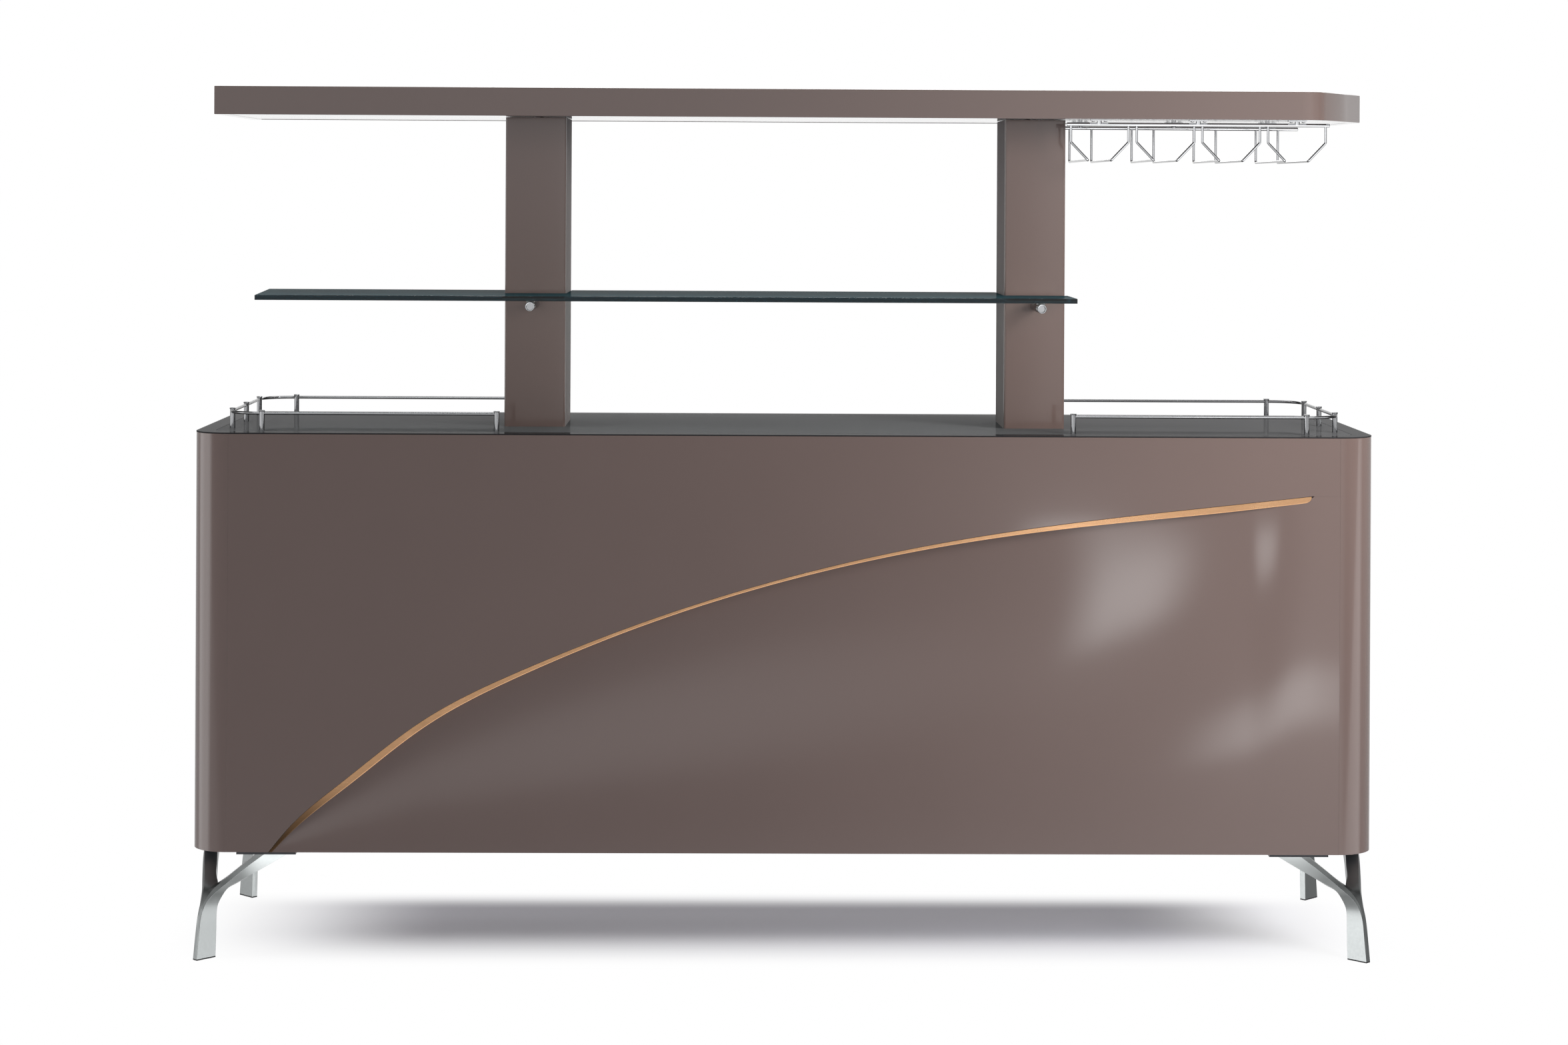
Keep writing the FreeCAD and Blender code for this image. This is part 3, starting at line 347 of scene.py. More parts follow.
class Graph:
    """A node tree with short ways to add, set and join nodes.

    Args:
        tree: The node tree.
    """

    def __init__(self, tree: bpy.types.NodeTree) -> None:
        self.tree = tree
        self.nodes = tree.nodes

    def feed(self, target: bpy.types.NodeSocket, source: object) -> None:
        """Join an output to an input, or set the input to a plain value.

        Args:
            target: The input.
            source: An output or a value.
        """
        if isinstance(source, bpy.types.NodeSocket):
            self.tree.links.new(source, target)
        else:
            target.default_value = source

    def fill(self, node: bpy.types.Node, **inputs: object) -> None:
        """Feed a node's inputs.

        Args:
            node: The node.
            inputs: Outputs or values by input name, with _ for a space.
        """
        for key, source in inputs.items():
            self.feed(node.inputs[key.replace("_", " ")], source)

    def add(
        self, kind: str, *terms: object, operation: str = "", **inputs: object
    ) -> bpy.types.Node:
        """Add a node and feed its inputs.

        Args:
            kind: The node's type, less the words that all types start with.
            terms: Outputs or values for its first inputs, in order.
            operation: What a mathematical node does.
            inputs: Outputs or values by input name, with _ for a space.

        Returns:
            The node.
        """
        node = self.nodes.new("ShaderNode" + kind)
        if operation:
            node.operation = operation
        for target, source in zip(node.inputs, terms):
            self.feed(target, source)
        self.fill(node, **inputs)
        return node

    def math(self, operation: str, *terms: object) -> bpy.types.NodeSocket:
        """Return the result of a sum of outputs or values."""
        return self.add("Math", *terms, operation=operation).outputs["Value"]

    def noise(self, place: bpy.types.NodeSocket, scale: float, detail: float) -> object:
        """Return the value of a noise at a place."""
        node = self.add("TexNoise", Vector=place, Scale=scale, Detail=detail)
        return node.outputs["Fac"]

    def stretched(self, place: bpy.types.NodeSocket, factors: object) -> bpy.types.NodeSocket:
        """Return a place times a factor for each axis."""
        return self.add("VectorMath", place, factors, operation="MULTIPLY").outputs["Vector"]

    def scaled(self, colour: bpy.types.NodeSocket, factor: object) -> bpy.types.NodeSocket:
        """Return a colour times one factor."""
        return self.add("VectorMath", colour, Scale=factor, operation="SCALE").outputs["Vector"]

    def axes(self, kind: str) -> object:
        """Return the X, Y and Z outputs of a kind of texture coordinate."""
        return self.add("SeparateXYZ", self.add("TexCoord").outputs[kind]).outputs

    def step(
        self, source: object, start: float = 0.0, end: float = 1.0,
        low: float = 0.0, high: float = 1.0, soft: bool = True,
    ) -> bpy.types.NodeSocket:
        """Return a step from low to high as the source goes from start to end.

        Args:
            source: The value that drives the step.
            start: Where the step starts.
            end: Where it ends.
            low: The value before it.
            high: The value after it.
            soft: Whether it sets in and runs out gently.
        """
        node = self.add("MapRange", source, start, end, low, high)
        if soft:
            node.interpolation_type = "SMOOTHSTEP"
        return node.outputs["Result"]

    def facing(self) -> bpy.types.NodeSocket:
        """Return how far the surface turns away from the eye, from nought to one."""
        return self.add("LayerWeight", Blend=0.5).outputs["Facing"]

    def seen(self, *kinds: str) -> bpy.types.NodeSocket:
        """Return one for the named kinds of ray and nought for the rest.

        Args:
            kinds: Names of the Light Path node's outputs.
        """
        rays = self.add("LightPath").outputs
        return reduce(lambda most, kind: self.math("MAXIMUM", most, rays[kind]),
                      kinds[1:], rays[kinds[0]])

    def blend(self, share: object, first: object, second: object) -> bpy.types.NodeSocket:
        """Return a first shader that gives way to a second as the share goes to one."""
        return self.add("MixShader", share, first, second).outputs["Shader"]


class Effect(Graph):
    """A node group that makes colour, gloss and surface uneven, shared by finishes.

    Args:
        name: The group's name.
        extras: Pairs of name and type of the inputs beside place, tint and gloss.
    """

    def __init__(self, name: str, *extras: tuple) -> None:
        super().__init__(bpy.data.node_groups.new(name, "ShaderNodeTree"))
        new_socket = self.tree.interface.new_socket
        for label, kind in (("Place", VECTOR), ("Tint", COLOR), ("Gloss", FLOAT), *extras):
            new_socket(label, in_out="INPUT", socket_type=kind)
        for label, kind in (("Colour", COLOR), ("Roughness", FLOAT), ("Normal", VECTOR)):
            new_socket(label, in_out="OUTPUT", socket_type=kind)
        self.start = self.nodes.new("NodeGroupInput").outputs
        self.end = self.nodes.new("NodeGroupOutput")

    def closed(
        self, tone: object, span: tuple, wear: object, share: float,
        height: object, distance: float, strength: object,
    ) -> bpy.types.NodeTree:
        """Join the group's outputs.

        Args:
            tone: The noise that lightens and darkens the tint.
            span: The tint's factors at the noise's two ends.
            wear: The noise that dulls the gloss.
            share: How much it dulls it.
            height: The noise that shapes the surface.
            distance: Its height in metres.
            strength: How strongly it shows.

        Returns:
            The finished group.
        """
        factor = self.step(tone, 0.0, 1.0, *span, soft=False)
        bump = self.add("Bump", Strength=strength, Distance=distance, Height=height)
        self.fill(
            self.end,
            Colour=self.scaled(self.start["Tint"], factor),
            Roughness=self.math("MULTIPLY_ADD", wear, share, self.start["Gloss"]),
            Normal=bump.outputs["Normal"],
        )
        return self.tree


def lacquer_film() -> bpy.types.NodeTree:
    """Gloss lacquer: a long soft ripple in the film and a faint unevenness in its gloss."""
    effect = Effect("lacquer_film", ("Ripple", FLOAT))
    place = effect.start["Place"]
    return effect.closed(
        tone=effect.noise(place, scale=2.2, detail=3.0), span=(0.96, 1.04),
        wear=effect.noise(place, scale=9.0, detail=5.0), share=0.05,
        height=effect.noise(place, scale=42.0, detail=1.0), distance=0.001,
        strength=effect.start["Ripple"],
    )


def metal_grain() -> bpy.types.NodeTree:
    """Worked metal: fine grain along one direction, with handling marks in its gloss."""
    effect = Effect("metal_grain", ("Stretch", VECTOR), ("Grain", FLOAT))
    place = effect.start["Place"]
    drawn_out = effect.stretched(place, effect.start["Stretch"])
    grain = effect.noise(drawn_out, scale=260.0, detail=3.0)
    marks = effect.noise(place, scale=14.0, detail=6.0)
    return effect.closed(
        tone=marks, span=(0.9, 1.08), wear=effect.math("MULTIPLY", grain, marks), share=0.3,
        height=grain, distance=0.0005, strength=effect.start["Grain"],
    )


def board_fibre() -> bpy.types.NodeTree:
    """Satin board: fine fibres along X under a thin stain."""
    effect = Effect("board_fibre")
    drawn_out = effect.stretched(effect.start["Place"], (3.0, 60.0, 60.0))
    fibre = effect.noise(drawn_out, scale=3.0, detail=6.0)
    return effect.closed(
        tone=fibre, span=(0.72, 1.3), wear=fibre, share=0.12,
        height=fibre, distance=0.0005, strength=0.12,
    )


class Paint(Graph):
    """The node tree of a new material.

    Args:
        name: The material's name.
    """

    def __init__(self, name: str) -> None:
        self.material = bpy.data.materials.new(name)
        self.material.use_nodes = True
        super().__init__(self.material.node_tree)
        self.shader = self.nodes["Principled BSDF"]

    def film(self, effect: bpy.types.NodeTree, **inputs: object) -> object:
        """Add a shared effect and return its outputs.

        Args:
            effect: The effect's node group, which is given object coordinates.
            inputs: Outputs or values by input name, with _ for a space.
        """
        node = self.nodes.new("ShaderNodeGroup")
        node.node_tree = effect
        self.fill(node, Place=self.add("TexCoord").outputs["Object"], **inputs)
        return node.outputs

    def shown(self, surface: bpy.types.NodeSocket) -> bpy.types.Material:
        """Return the material with a shader's output as its surface."""
        self.fill(self.nodes["Material Output"], Surface=surface)
        return self.material


@dataclass(frozen=True)
class Finish:
    """What all finishes share.

    Args:
        name: The material's name.
        colour: Its colour, linear.
        gloss: Its lowest roughness.
    """

    name: str
    colour: tuple
    gloss: float

    def painted(self, effect: bpy.types.NodeTree, **inputs: object) -> tuple:
        """Return a material's graph and the outputs of a shared effect, joined to its shader.

        Args:
            effect: The effect's node group.
            inputs: The effect's inputs beside tint and gloss.
        """
        paint = Paint(self.name)
        film = paint.film(effect, Tint=(*self.colour, 1), Gloss=self.gloss, **inputs)
        paint.fill(paint.shader, Base_Color=film["Colour"], Normal=film["Normal"])
        return paint, film


@dataclass(frozen=True)
class Lacquer(Finish):
    """Gloss lacquer under a clear coat.

    Args:
        coat: How much clear coat lies on it.
        ripple: How strong the film's ripple is.
        index: The film's index of refraction.
    """

    coat: float = 0.9
    ripple: float = 0.015
    index: float = 1.5

    COAT_ROUGHNESS = 0.07

    def build(self, effect: bpy.types.NodeTree) -> bpy.types.Material:
        """Return the finish as a material that uses the lacquer effect."""
        paint, film = self.painted(effect, Ripple=self.ripple)
        paint.fill(
            paint.shader, Roughness=film["Roughness"], Coat_Weight=self.coat,
            Coat_Roughness=self.COAT_ROUGHNESS, IOR=self.index,
        )
        return paint.material


@dataclass(frozen=True)
class Metal(Finish):
    """Bare or plated metal.

    Args:
        grain: How strong its grain is.
        stretch: How the grain is drawn out along each axis.
        rim: How much of its colour is left where it turns away from the eye; this darker edge is
            painted shade.
        foot: The heights in metres between which its colour darkens downward as painted shade, or
            nothing.
    """

    grain: float
    stretch: tuple = (1.0, 1.0, 1.0)
    rim: float = 1.0
    foot: tuple = ()

    PAINTED_EDGE_SHADE_SPAN = (0.15, 0.45)  # the span of turning away over which the colour goes to the rim's
    PAINTED_SHADE_LEVEL = 0.12  # how much of the colour is left at the foot

    def build(self, effect: bpy.types.NodeTree) -> bpy.types.Material:
        """Return the finish as a material that uses the metal effect."""
        paint, film = self.painted(effect, Grain=self.grain, Stretch=self.stretch)
        colour = film["Colour"]
        # Painted shade: the colour darkens where the surface turns away from the eye.
        if self.rim < 1.0:
            painted_edge_shade = paint.step(paint.facing(), *self.PAINTED_EDGE_SHADE_SPAN, 1.0, self.rim)
            colour = paint.scaled(colour, painted_edge_shade)
        # Painted shade: the colour darkens towards the bottom, for the dark floor that the lower
        # trim mirrors.
        if self.foot:
            height = paint.axes("Object")["Z"]
            colour = paint.scaled(colour, paint.step(height, *self.foot, self.PAINTED_SHADE_LEVEL, 1.0))
        paint.fill(paint.shader, Base_Color=colour, Roughness=film["Roughness"], Metallic=1.0)
        return paint.material


@dataclass(frozen=True)
class Board(Finish):
    """Stained satin board of the carcass."""

    def build(self, effect: bpy.types.NodeTree) -> bpy.types.Material:
        """Return the finish as a material that uses the board effect."""
        paint, film = self.painted(effect)
        paint.fill(paint.shader, Roughness=film["Roughness"])
        return paint.material


@dataclass(frozen=True)
class ClearSheet(Finish):
    """Clear glass or plastic that lets plain shadows through. Its gloss is even.

    Args:
        shadow: The tint of its shadow, linear.
        deep: The colour that a very flat look along the sheet meets, linear, or nothing.
    """

    shadow: tuple
    deep: tuple = ()

    RIPPLE = 0.004
    INDEX = 1.5
    FLAT_LOOK = (0.86, 0.94, 0.0, 0.92)  # the span of turning away, and the deep colour's shares

    def build(self, effect: bpy.types.NodeTree) -> bpy.types.Material:
        """Return the finish as a material with the lacquer effect's faint unevenness."""
        paint, _ = self.painted(effect, Ripple=self.RIPPLE)
        paint.fill(
            paint.shader, Roughness=self.gloss, Transmission_Weight=1.0,
            IOR=self.INDEX, Metallic=0.0,
        )
        surface = paint.shader.outputs["BSDF"]
        if self.deep:
            share = paint.step(paint.facing(), *self.FLAT_LOOK, soft=False)
            depth = paint.add("BsdfDiffuse", Color=(*self.deep, 1)).outputs["BSDF"]
            surface = paint.blend(share, surface, depth)
        clear = paint.add("BsdfTransparent", Color=(*self.shadow, 1)).outputs["BSDF"]
        return paint.shown(paint.blend(paint.seen("Is Shadow Ray"), surface, clear))


PALETTE = (
    Lacquer("taupe_lacquer", (0.106, 0.071, 0.0615), 0.2),
    # taupe_satin is a lighter, duller copy of the lacquer for the uprights' side faces: painted
    # light.
    Lacquer("taupe_satin", (0.170, 0.156, 0.152), 0.5, coat=0.0, index=1.03),
    Lacquer("dark_glass", (0.088, 0.088, 0.090), 0.02, coat=0.0, ripple=0.002, index=1.004),
    Lacquer("dark_border", (0.022, 0.022, 0.023), 0.10, coat=0.0, index=1.01),
    Lacquer("black_plastic", (0.016, 0.016, 0.018), 0.45, coat=0.0),
    Lacquer("dark_metal", (0.022, 0.024, 0.030), 0.32, coat=0.2),
    # The copper's colour darkens from 0.32 m down to 0.19 m: painted shade.
    Metal("copper", (0.71, 0.41, 0.22), 0.16, 0.02, (0.2, 1.0, 1.0), foot=(0.19, 0.32)),
    # Chrome and leg metal keep only part of their colour where they turn from the eye: painted
    # shade.
    Metal("chrome", (0.74, 0.75, 0.77), 0.03, 0.004, rim=0.10),
    Metal("leg_metal", (0.60, 0.63, 0.63), 0.26, 0.005, rim=0.4),
    Metal("steel", (0.50, 0.50, 0.51), 0.24, 0.05),
    Metal("bush_brass", (0.62, 0.45, 0.20), 0.20, 0.04),
    Board("carcass_board", (0.062, 0.050, 0.046), 0.42),
    ClearSheet("clear_glass", (0.93, 0.975, 0.97), 0.0, (0.90, 0.95, 0.94), (0.020, 0.056, 0.068)),
    ClearSheet("clear_pad", (0.80, 0.82, 0.82), 0.35, (0.7, 0.7, 0.7)),
    ClearSheet("glass_edge", (0.008, 0.030, 0.042), 0.12, (0.5, 0.6, 0.6)),
)


@dataclass
class Finishes:
    """Every finish of the sideboard.

    Args:
        by_slot: The materials by the record's material slot.
    """

    by_slot: dict

    @classmethod
    def mixed(cls) -> "Finishes":
        """Return all finishes of the palette, built from their effects."""
        film, grain, fibre = lacquer_film(), metal_grain(), board_fibre()
        effects = {Lacquer: film, Metal: grain, Board: fibre, ClearSheet: film}
        return cls({one.name: one.build(effects[type(one)]) for one in PALETTE})

    def dress(self, frame: dict) -> None:
        """Give every solid of the frame the finish of its slot.
        """
        for entry in frame["record"]["subparts"]:
            node = frame["nodes"][entry["node"]]
            node.data.materials.clear()
            node.data.materials.append(self.by_slot[entry["material_slot"]])


# The counter


@dataclass
class SubAssembly:
    """A group of pieces that are made together.

    Args:
        finishes: The sideboard's finishes.
    """

    finishes: Finishes

    def emit(
        self, name: str, made: Surface, slot: str, node: str, body: Body = Body.CABINET,
        sides: str = "", bevel: float = 0.0, segments: int = 2, limit: float = 35.0,
    ) -> None:
        """Make the scene's object from a surface.

        Args:
            name: The piece's name.
            made: Its surface.
            slot: The record's material slot, which is also its finish.
            node: The solid that it is shown in place of.
            body: The body that carries it.
            sides: The finish of the faces marked 1, where that is another one.
            bevel: The width of its rounded edges in millimetres.
            segments: The steps across a rounded edge.
            limit: The angle in degrees from which an edge counts as sharp.
        """
        mesh = bpy.data.meshes.new(name)
        mesh.from_pydata([tuple(p) for p in made.points], [], made.faces)
        mesh.materials.append(self.finishes.by_slot[slot])
        if sides:
            mesh.materials.append(self.finishes.by_slot[sides])
            mesh.polygons.foreach_set("material_index", np.array(made.marks, np.int32))
        mesh.polygons.foreach_set("use_smooth", np.ones(len(mesh.polygons), bool))
        work = bmesh.new()
        work.from_mesh(mesh)
        bmesh.ops.recalc_face_normals(work, faces=work.faces)
        sharp = math.radians(limit)
        if not bevel:
            for edge in work.edges:
                if len(edge.link_faces) == 2 and edge.calc_face_angle(0.0) > sharp:
                    edge.smooth = False
        work.to_mesh(mesh)
        work.free()
        mesh.validate()
        piece = bpy.data.objects.new(name, mesh)
        bpy.context.scene.collection.objects.link(piece)
        if bevel:
            rounding = piece.modifiers.new("rounded_edges", "BEVEL")
            rounding.width = bevel * MM
            rounding.segments = segments
            rounding.limit_method = "ANGLE"
            rounding.angle_limit = sharp
            rounding.harden_normals = True
        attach(piece, body.value)
        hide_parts(node)


@dataclass
class CounterCase(SubAssembly):
    """The lacquered case: side shells, upper front, scooped front and its trim.

    Args:
        flat_half: Half of the flat front's width in millimetres, up to the round corners.
        flat_side: Half of the flat side's depth.
        half_depth: Half of the case's depth.
        corner: The outer radius of its upright corners.
        wall: The thickness of the side shells.
        low: The case's underside.
        high: Its upper edge.
        front_back: The inner plane of the front.
        scoop: How deep the hollow below the trim is.
        trim_width: The trim's full width.
    """

    flat_half: float = 890.0
    flat_side: float = 190.0
    half_depth: float = 250.0
    corner: float = 60.0
    wall: float = 20.0
    low: float = 175.0
    high: float = 843.0
    front_back: float = -214.0
    scoop: float = 24.0
    trim_width: float = 11.0

    # The trim's upper edge as shares of the flat front, and its width there as a share
    PATH = (
        (-0.9247, 0.0), (-0.8854, 0.0629), (-0.7899, 0.1722), (-0.6461, 0.3189),
        (-0.4775, 0.4341), (-0.2809, 0.5404), (0.0, 0.6602), (0.2809, 0.7455),
        (0.5618, 0.8024), (0.7865, 0.8368), (0.9483, 0.8608),
    )
    WIDTHS = (0.4, 0.75, 1.0, 0.95, 0.7, 0.5, 0.45, 0.55, 0.8, 1.0, 1.0)
    TIP_SLANT = 0.8  # how far the trim's heel stays behind its tip, in its widths
    TIP_BULGE = (-0.15, -0.6)  # where its round end passes, seen from the tip

    SCOOP_PAST = 15.0  # how far the scoop runs on past the trim's tip
    SCOOP_GAP = 0.6  # the free width between the trim's foot and the scooped panel
    SCOOP_POWER = 0.8
    SCOOP_END = 0.07  # the share of the scoop's length over which it runs out
    SCOOP_LEAST = 30.0  # the least height that the hollow is spread over
    ROWS, COLUMNS, TIP_COLUMNS = 44, 170, 10  # points up and across the scooped panel
    ARC_STEPS, INNER_STEPS = 40, 24  # points on the side shells' outer and inner bends
    EDGE_STEPS, TRIM_STEPS, TOP_STEPS = 160, 220, 400  # points along the trim's edges
    END_STEPS, TOP_END_STEPS = 10, 12  # points on its round end

    def trim_knots(self) -> tuple:
        """Return the trim's upper and lower knots on the front's plane."""
        path = np.array(self.PATH) * (self.flat_half, self.high - self.low)
        upper = path + (0.0, self.low)
        lower = upper.copy()
        last = len(upper) - 1
        for i, width in enumerate(np.array(self.WIDTHS) * self.trim_width):
            across, up = upper[min(i + 1, last)] - upper[max(i - 1, 0)]
            slope = math.atan2(up, across)
            if i == 0:
                lower[i] += (width / math.sin(slope), 0)
            elif i == last:
                lower[i] += (-width * self.TIP_SLANT, -width)
            else:
                lower[i] += (width * math.sin(slope), -width * math.cos(slope))
        return upper, lower

    def end_bulge(self, heel: np.ndarray, tip: np.ndarray, count: int) -> np.ndarray:
        """Return the round end of the trim from its heel to its pointed tip."""
        bulge = tip + np.array(self.TIP_BULGE) * self.trim_width
        return curve(heel, 2 * bulge - 0.5 * (heel + tip), tip, count)

    def shell(self, side: Side) -> None:
        """Make a side shell: the C of a round-cornered wall in plan."""
        x, y, inner = self.flat_half, self.flat_side, self.corner - self.wall
        outline = np.vstack([
            arc(x, -y, self.corner, -90, 0, self.ARC_STEPS),
            arc(x, y, self.corner, 0, 90, self.ARC_STEPS),
            arc(x, y, inner, 90, 0, self.INNER_STEPS),
            arc(x, -y, inner, 0, -90, self.INNER_STEPS),
        ])
        made = slab(outline, self.low, self.high).on(side)
        node = side.word + "_side_shell"
        self.emit(side.word + "_side_wall", made, "taupe_lacquer", node, bevel=0.25)

    def upper_front(self) -> None:
        """Make the flat panel above the trim."""
        upper, _ = self.trim_knots()
        outline = np.vstack([
            spline(upper, self.EDGE_STEPS),
            [[self.flat_half, upper[-1][1]], [self.flat_half, self.high]],
            [[-self.flat_half, self.high], [-self.flat_half, self.low]],
        ])
        made = slab(outline, -self.half_depth, self.front_back, axis=1)
        self.emit("upper_front", made, "taupe_lacquer", "front_upper_panel", bevel=0.25)

    def trim(self) -> None:
        """Make the copper-coloured trim, a bar whose width swells at both ends."""
        top, under = (spline(knots, self.TRIM_STEPS) for knots in self.trim_knots())
        end = self.end_bulge(under[-1], top[-1], self.END_STEPS)
        outline = np.vstack([under, end[1:-1], top[::-1]])
        made = slab(outline, -self.half_depth, self.front_back, axis=1)
        self.emit("copper_trim", made, "copper", "front_trim", bevel=0.8, segments=3)

    def scoop_top(self, x: np.ndarray) -> np.ndarray:
        """Return the height of the scooped panel's upper edge at places across the front."""
        upper, lower = self.trim_knots()
        under = spline(lower, self.TOP_STEPS)
        end = self.end_bulge(under[-1], upper[-1], self.TOP_END_STEPS)
        edge = np.vstack([under, end[1:], [[self.flat_half, upper[-1][1]]]])
        return np.interp(x, edge[:, 0], edge[:, 1])

    def scooped_front(self) -> None:
        """Make the panel below the trim.

        Its depth is the scoop times a power of sin(pi u) times the square of sin(pi v / 2),
        softened where it runs out on the right. Here u runs from the trim's foot to just
        past its tip, and v from the lower edge to the trim.
        """
        upper, lower = self.trim_knots()
        start, end = upper[0][0], upper[-1][0] + self.SCOOP_PAST
        places = np.concatenate([
            np.linspace(lower[0][0] + self.SCOOP_GAP, end, self.COLUMNS),
            np.linspace(end, self.flat_half, self.TIP_COLUMNS),
            np.linspace(lower[-1][0], upper[-1][0], self.TIP_COLUMNS),
        ])
        x = np.unique(np.round(places, 3))
        u = np.clip((x - start) / (end - start), 0, 1)
        rim = np.clip((1 - u) / self.SCOOP_END, 0, 1)
        wave = np.clip(np.sin(np.pi * u), 0, None) ** self.SCOOP_POWER
        wave = wave * rim**2 * (3 - 2 * rim)
        path_top = np.interp(x, upper[:, 0], upper[:, 1])
        spans = np.maximum(path_top - self.low, self.SCOOP_LEAST)
        rings = []
        for place, top, span, hollow in zip(x, self.scoop_top(x), spans, wave):
            z = self.low + (top - self.low) * np.linspace(0, 1, self.ROWS)
            v = np.clip((z - self.low) / span, 0, 1)
            depth = self.scoop * hollow * np.sin(np.pi * v / 2) ** 2
            front = np.column_stack([np.full(self.ROWS, place), depth - self.half_depth, z])
            back = [[place, self.front_back, top], [place, self.front_back, self.low]]
            rings.append(np.vstack([front, back]))
        self.emit("scooped_front", loft(framed(rings)), "taupe_lacquer", "front_scoop_panel")

    def build(self) -> None:
        """Make every piece of the case."""
        for side in Side:
            self.shell(side)
        self.upper_front()
        self.trim()
        self.scooped_front()


@dataclass
class Countertop(SubAssembly):
    """The grey glass and its dark border.

    Args:
        top: The countertop's height in millimetres.
        border: The border's thickness.
        glass: The glass's thickness.
        gap: The free width between both.
    """

    top: float = 845.0
    border: float = 2.0
    glass: float = 4.0
    gap: float = 0.3

    # Half the width, half the depth and the corners' radius of both outlines
    OUTER = (950.0, 250.0, 60.0)
    INNER = (919.0, 214.0, 29.0)
    BORDER_STEPS, GLASS_STEPS = 40, 24  # points on each round corner

    def build(self) -> None:
        """Make the border, a flat band round the countertop, and the glass inside it."""
        rings, low = [], self.top - self.border
        outer, inner = (round_rect(*at, self.BORDER_STEPS) for at in (self.OUTER, self.INNER))
        for a, b in zip(outer, inner):
            rings.append([[*a, low], [*a, self.top], [*b, self.top], [*b, low]])
        band = loft(framed(rings), closed=True)
        self.emit("countertop_border", band, "dark_border", "countertop_frame", bevel=0.5)
        x, y, corner = self.INNER
        outline = round_rect(x - self.gap, y - self.gap, corner, self.GLASS_STEPS)
        made = slab(outline, self.top - self.glass, self.top)
        self.emit("countertop_plate", made, "dark_glass", "countertop_glass", bevel=0.35)


@dataclass
class Canopy(SubAssembly):
    """The canopy, its underside panel and the two uprights.

    Args:
        low: The canopy's underside in millimetres.
        high: Its top.
        left: Its left end.
        right: Its right end.
        front: Its front edge.
        rear: Its rear edge.
        wide: The width of the slant at its right front corner.
        deep: The slant's depth.
        bend: How far the slant's bend reaches.
        rim: The width of the tray's rim.
    """

    low: float = 1355.0
    high: float = 1401.0
    left: float = -926.0
    right: float = 965.0
    front: float = -185.0
    rear: float = 215.0
    wide: float = 99.0
    deep: float = 180.0
    bend: float = 30.0
    rim: float = 20.0

    RECESS = 8.0
    PANEL = (20.4, 0.6, 7.8)  # the underside panel's inset and its two faces above the rim
    UPRIGHT = (366.0, 458.0, -86.0, 76.0)  # the centres of an upright's corners in plan
    UPRIGHT_CORNER = 4.0
    UPRIGHT_FOOT = 841.0
    BEND_STEPS, CORNER_STEPS = 14, 7

    def outline(self, inset: float) -> np.ndarray:
        """Return the canopy's outline, drawn in by an inset.

        The right end runs back in a slant from a round bend to a pointed tip.
        """
        left, right = inset + self.left, self.right - inset
        front, rear = inset + self.front, self.rear - inset
        wide, deep = self.wide, self.deep
        long = math.hypot(wide, deep)
        corner = np.array([self.right - wide - inset * (long - wide) / deep, front])
        tip = [right, self.front + deep + inset * (long - deep) / wide]
        before = corner - np.array([self.bend, 0.0])
        after = corner + np.array([wide, deep]) * self.bend / long
        bend = curve(before, corner, after, self.BEND_STEPS)
        return np.vstack([[[left, front]], bend, [tip, [right, rear], [left, rear]]])

    def tray(self) -> None:
        """Make the canopy's tray: outline rings from the recess, round the rim, to the top."""
        rings = []
        for inset, z in (
            (self.rim, self.low + self.RECESS), (self.rim, self.low),
            (0.0, self.low), (0.0, self.high),
        ):
            flat = self.outline(inset)
            rings.append(np.column_stack([flat, np.full(len(flat), z)]))
        made = loft(framed(rings))
        self.emit("canopy_tray", made, "taupe_lacquer", "canopy_shell", bevel=1.2, segments=3)

    def underside(self) -> None:
        """Make the panel that closes the tray."""
        inset, low, high = self.PANEL
        made = slab(self.outline(inset), self.low + low, self.low + high)
        self.emit("canopy_lower_panel", made, "taupe_lacquer", "canopy_underside", bevel=0.8)

    def upright(self, side: Side) -> None:
        """Make an upright with softened corners, from the glass to the canopy.

        Its two faces across the counter take taupe_satin, a lighter, duller copy of the lacquer:
        painted light for what those glossy faces mirror.
        """
        x0, x1, y0, y1 = self.UPRIGHT
        corners = ((x0, y0, 180), (x1, y0, 270), (x1, y1, 0), (x0, y1, 90))
        outline = np.vstack([
            arc(x, y, self.UPRIGHT_CORNER, turn, turn + 90, self.CORNER_STEPS)
            for x, y, turn in corners
        ])
        made = slab(outline, self.UPRIGHT_FOOT, self.low)
        shift = np.abs(outline - np.roll(outline, -1, axis=0))[:, 0]
        made.marks = [int(across < SAME) for across in shift] + [0, 0]
        # The side faces get the lighter copy of the lacquer as painted light.
        self.emit(
            side.word + "_post", made.on(side), "taupe_lacquer", side.word + "_upright",
            sides="taupe_satin", bevel=0.3,
        )

    def build(self) -> None:
        """Make the canopy's pieces and the uprights."""
        self.tray()
        self.underside()
        for side in Side:
            self.upright(side)


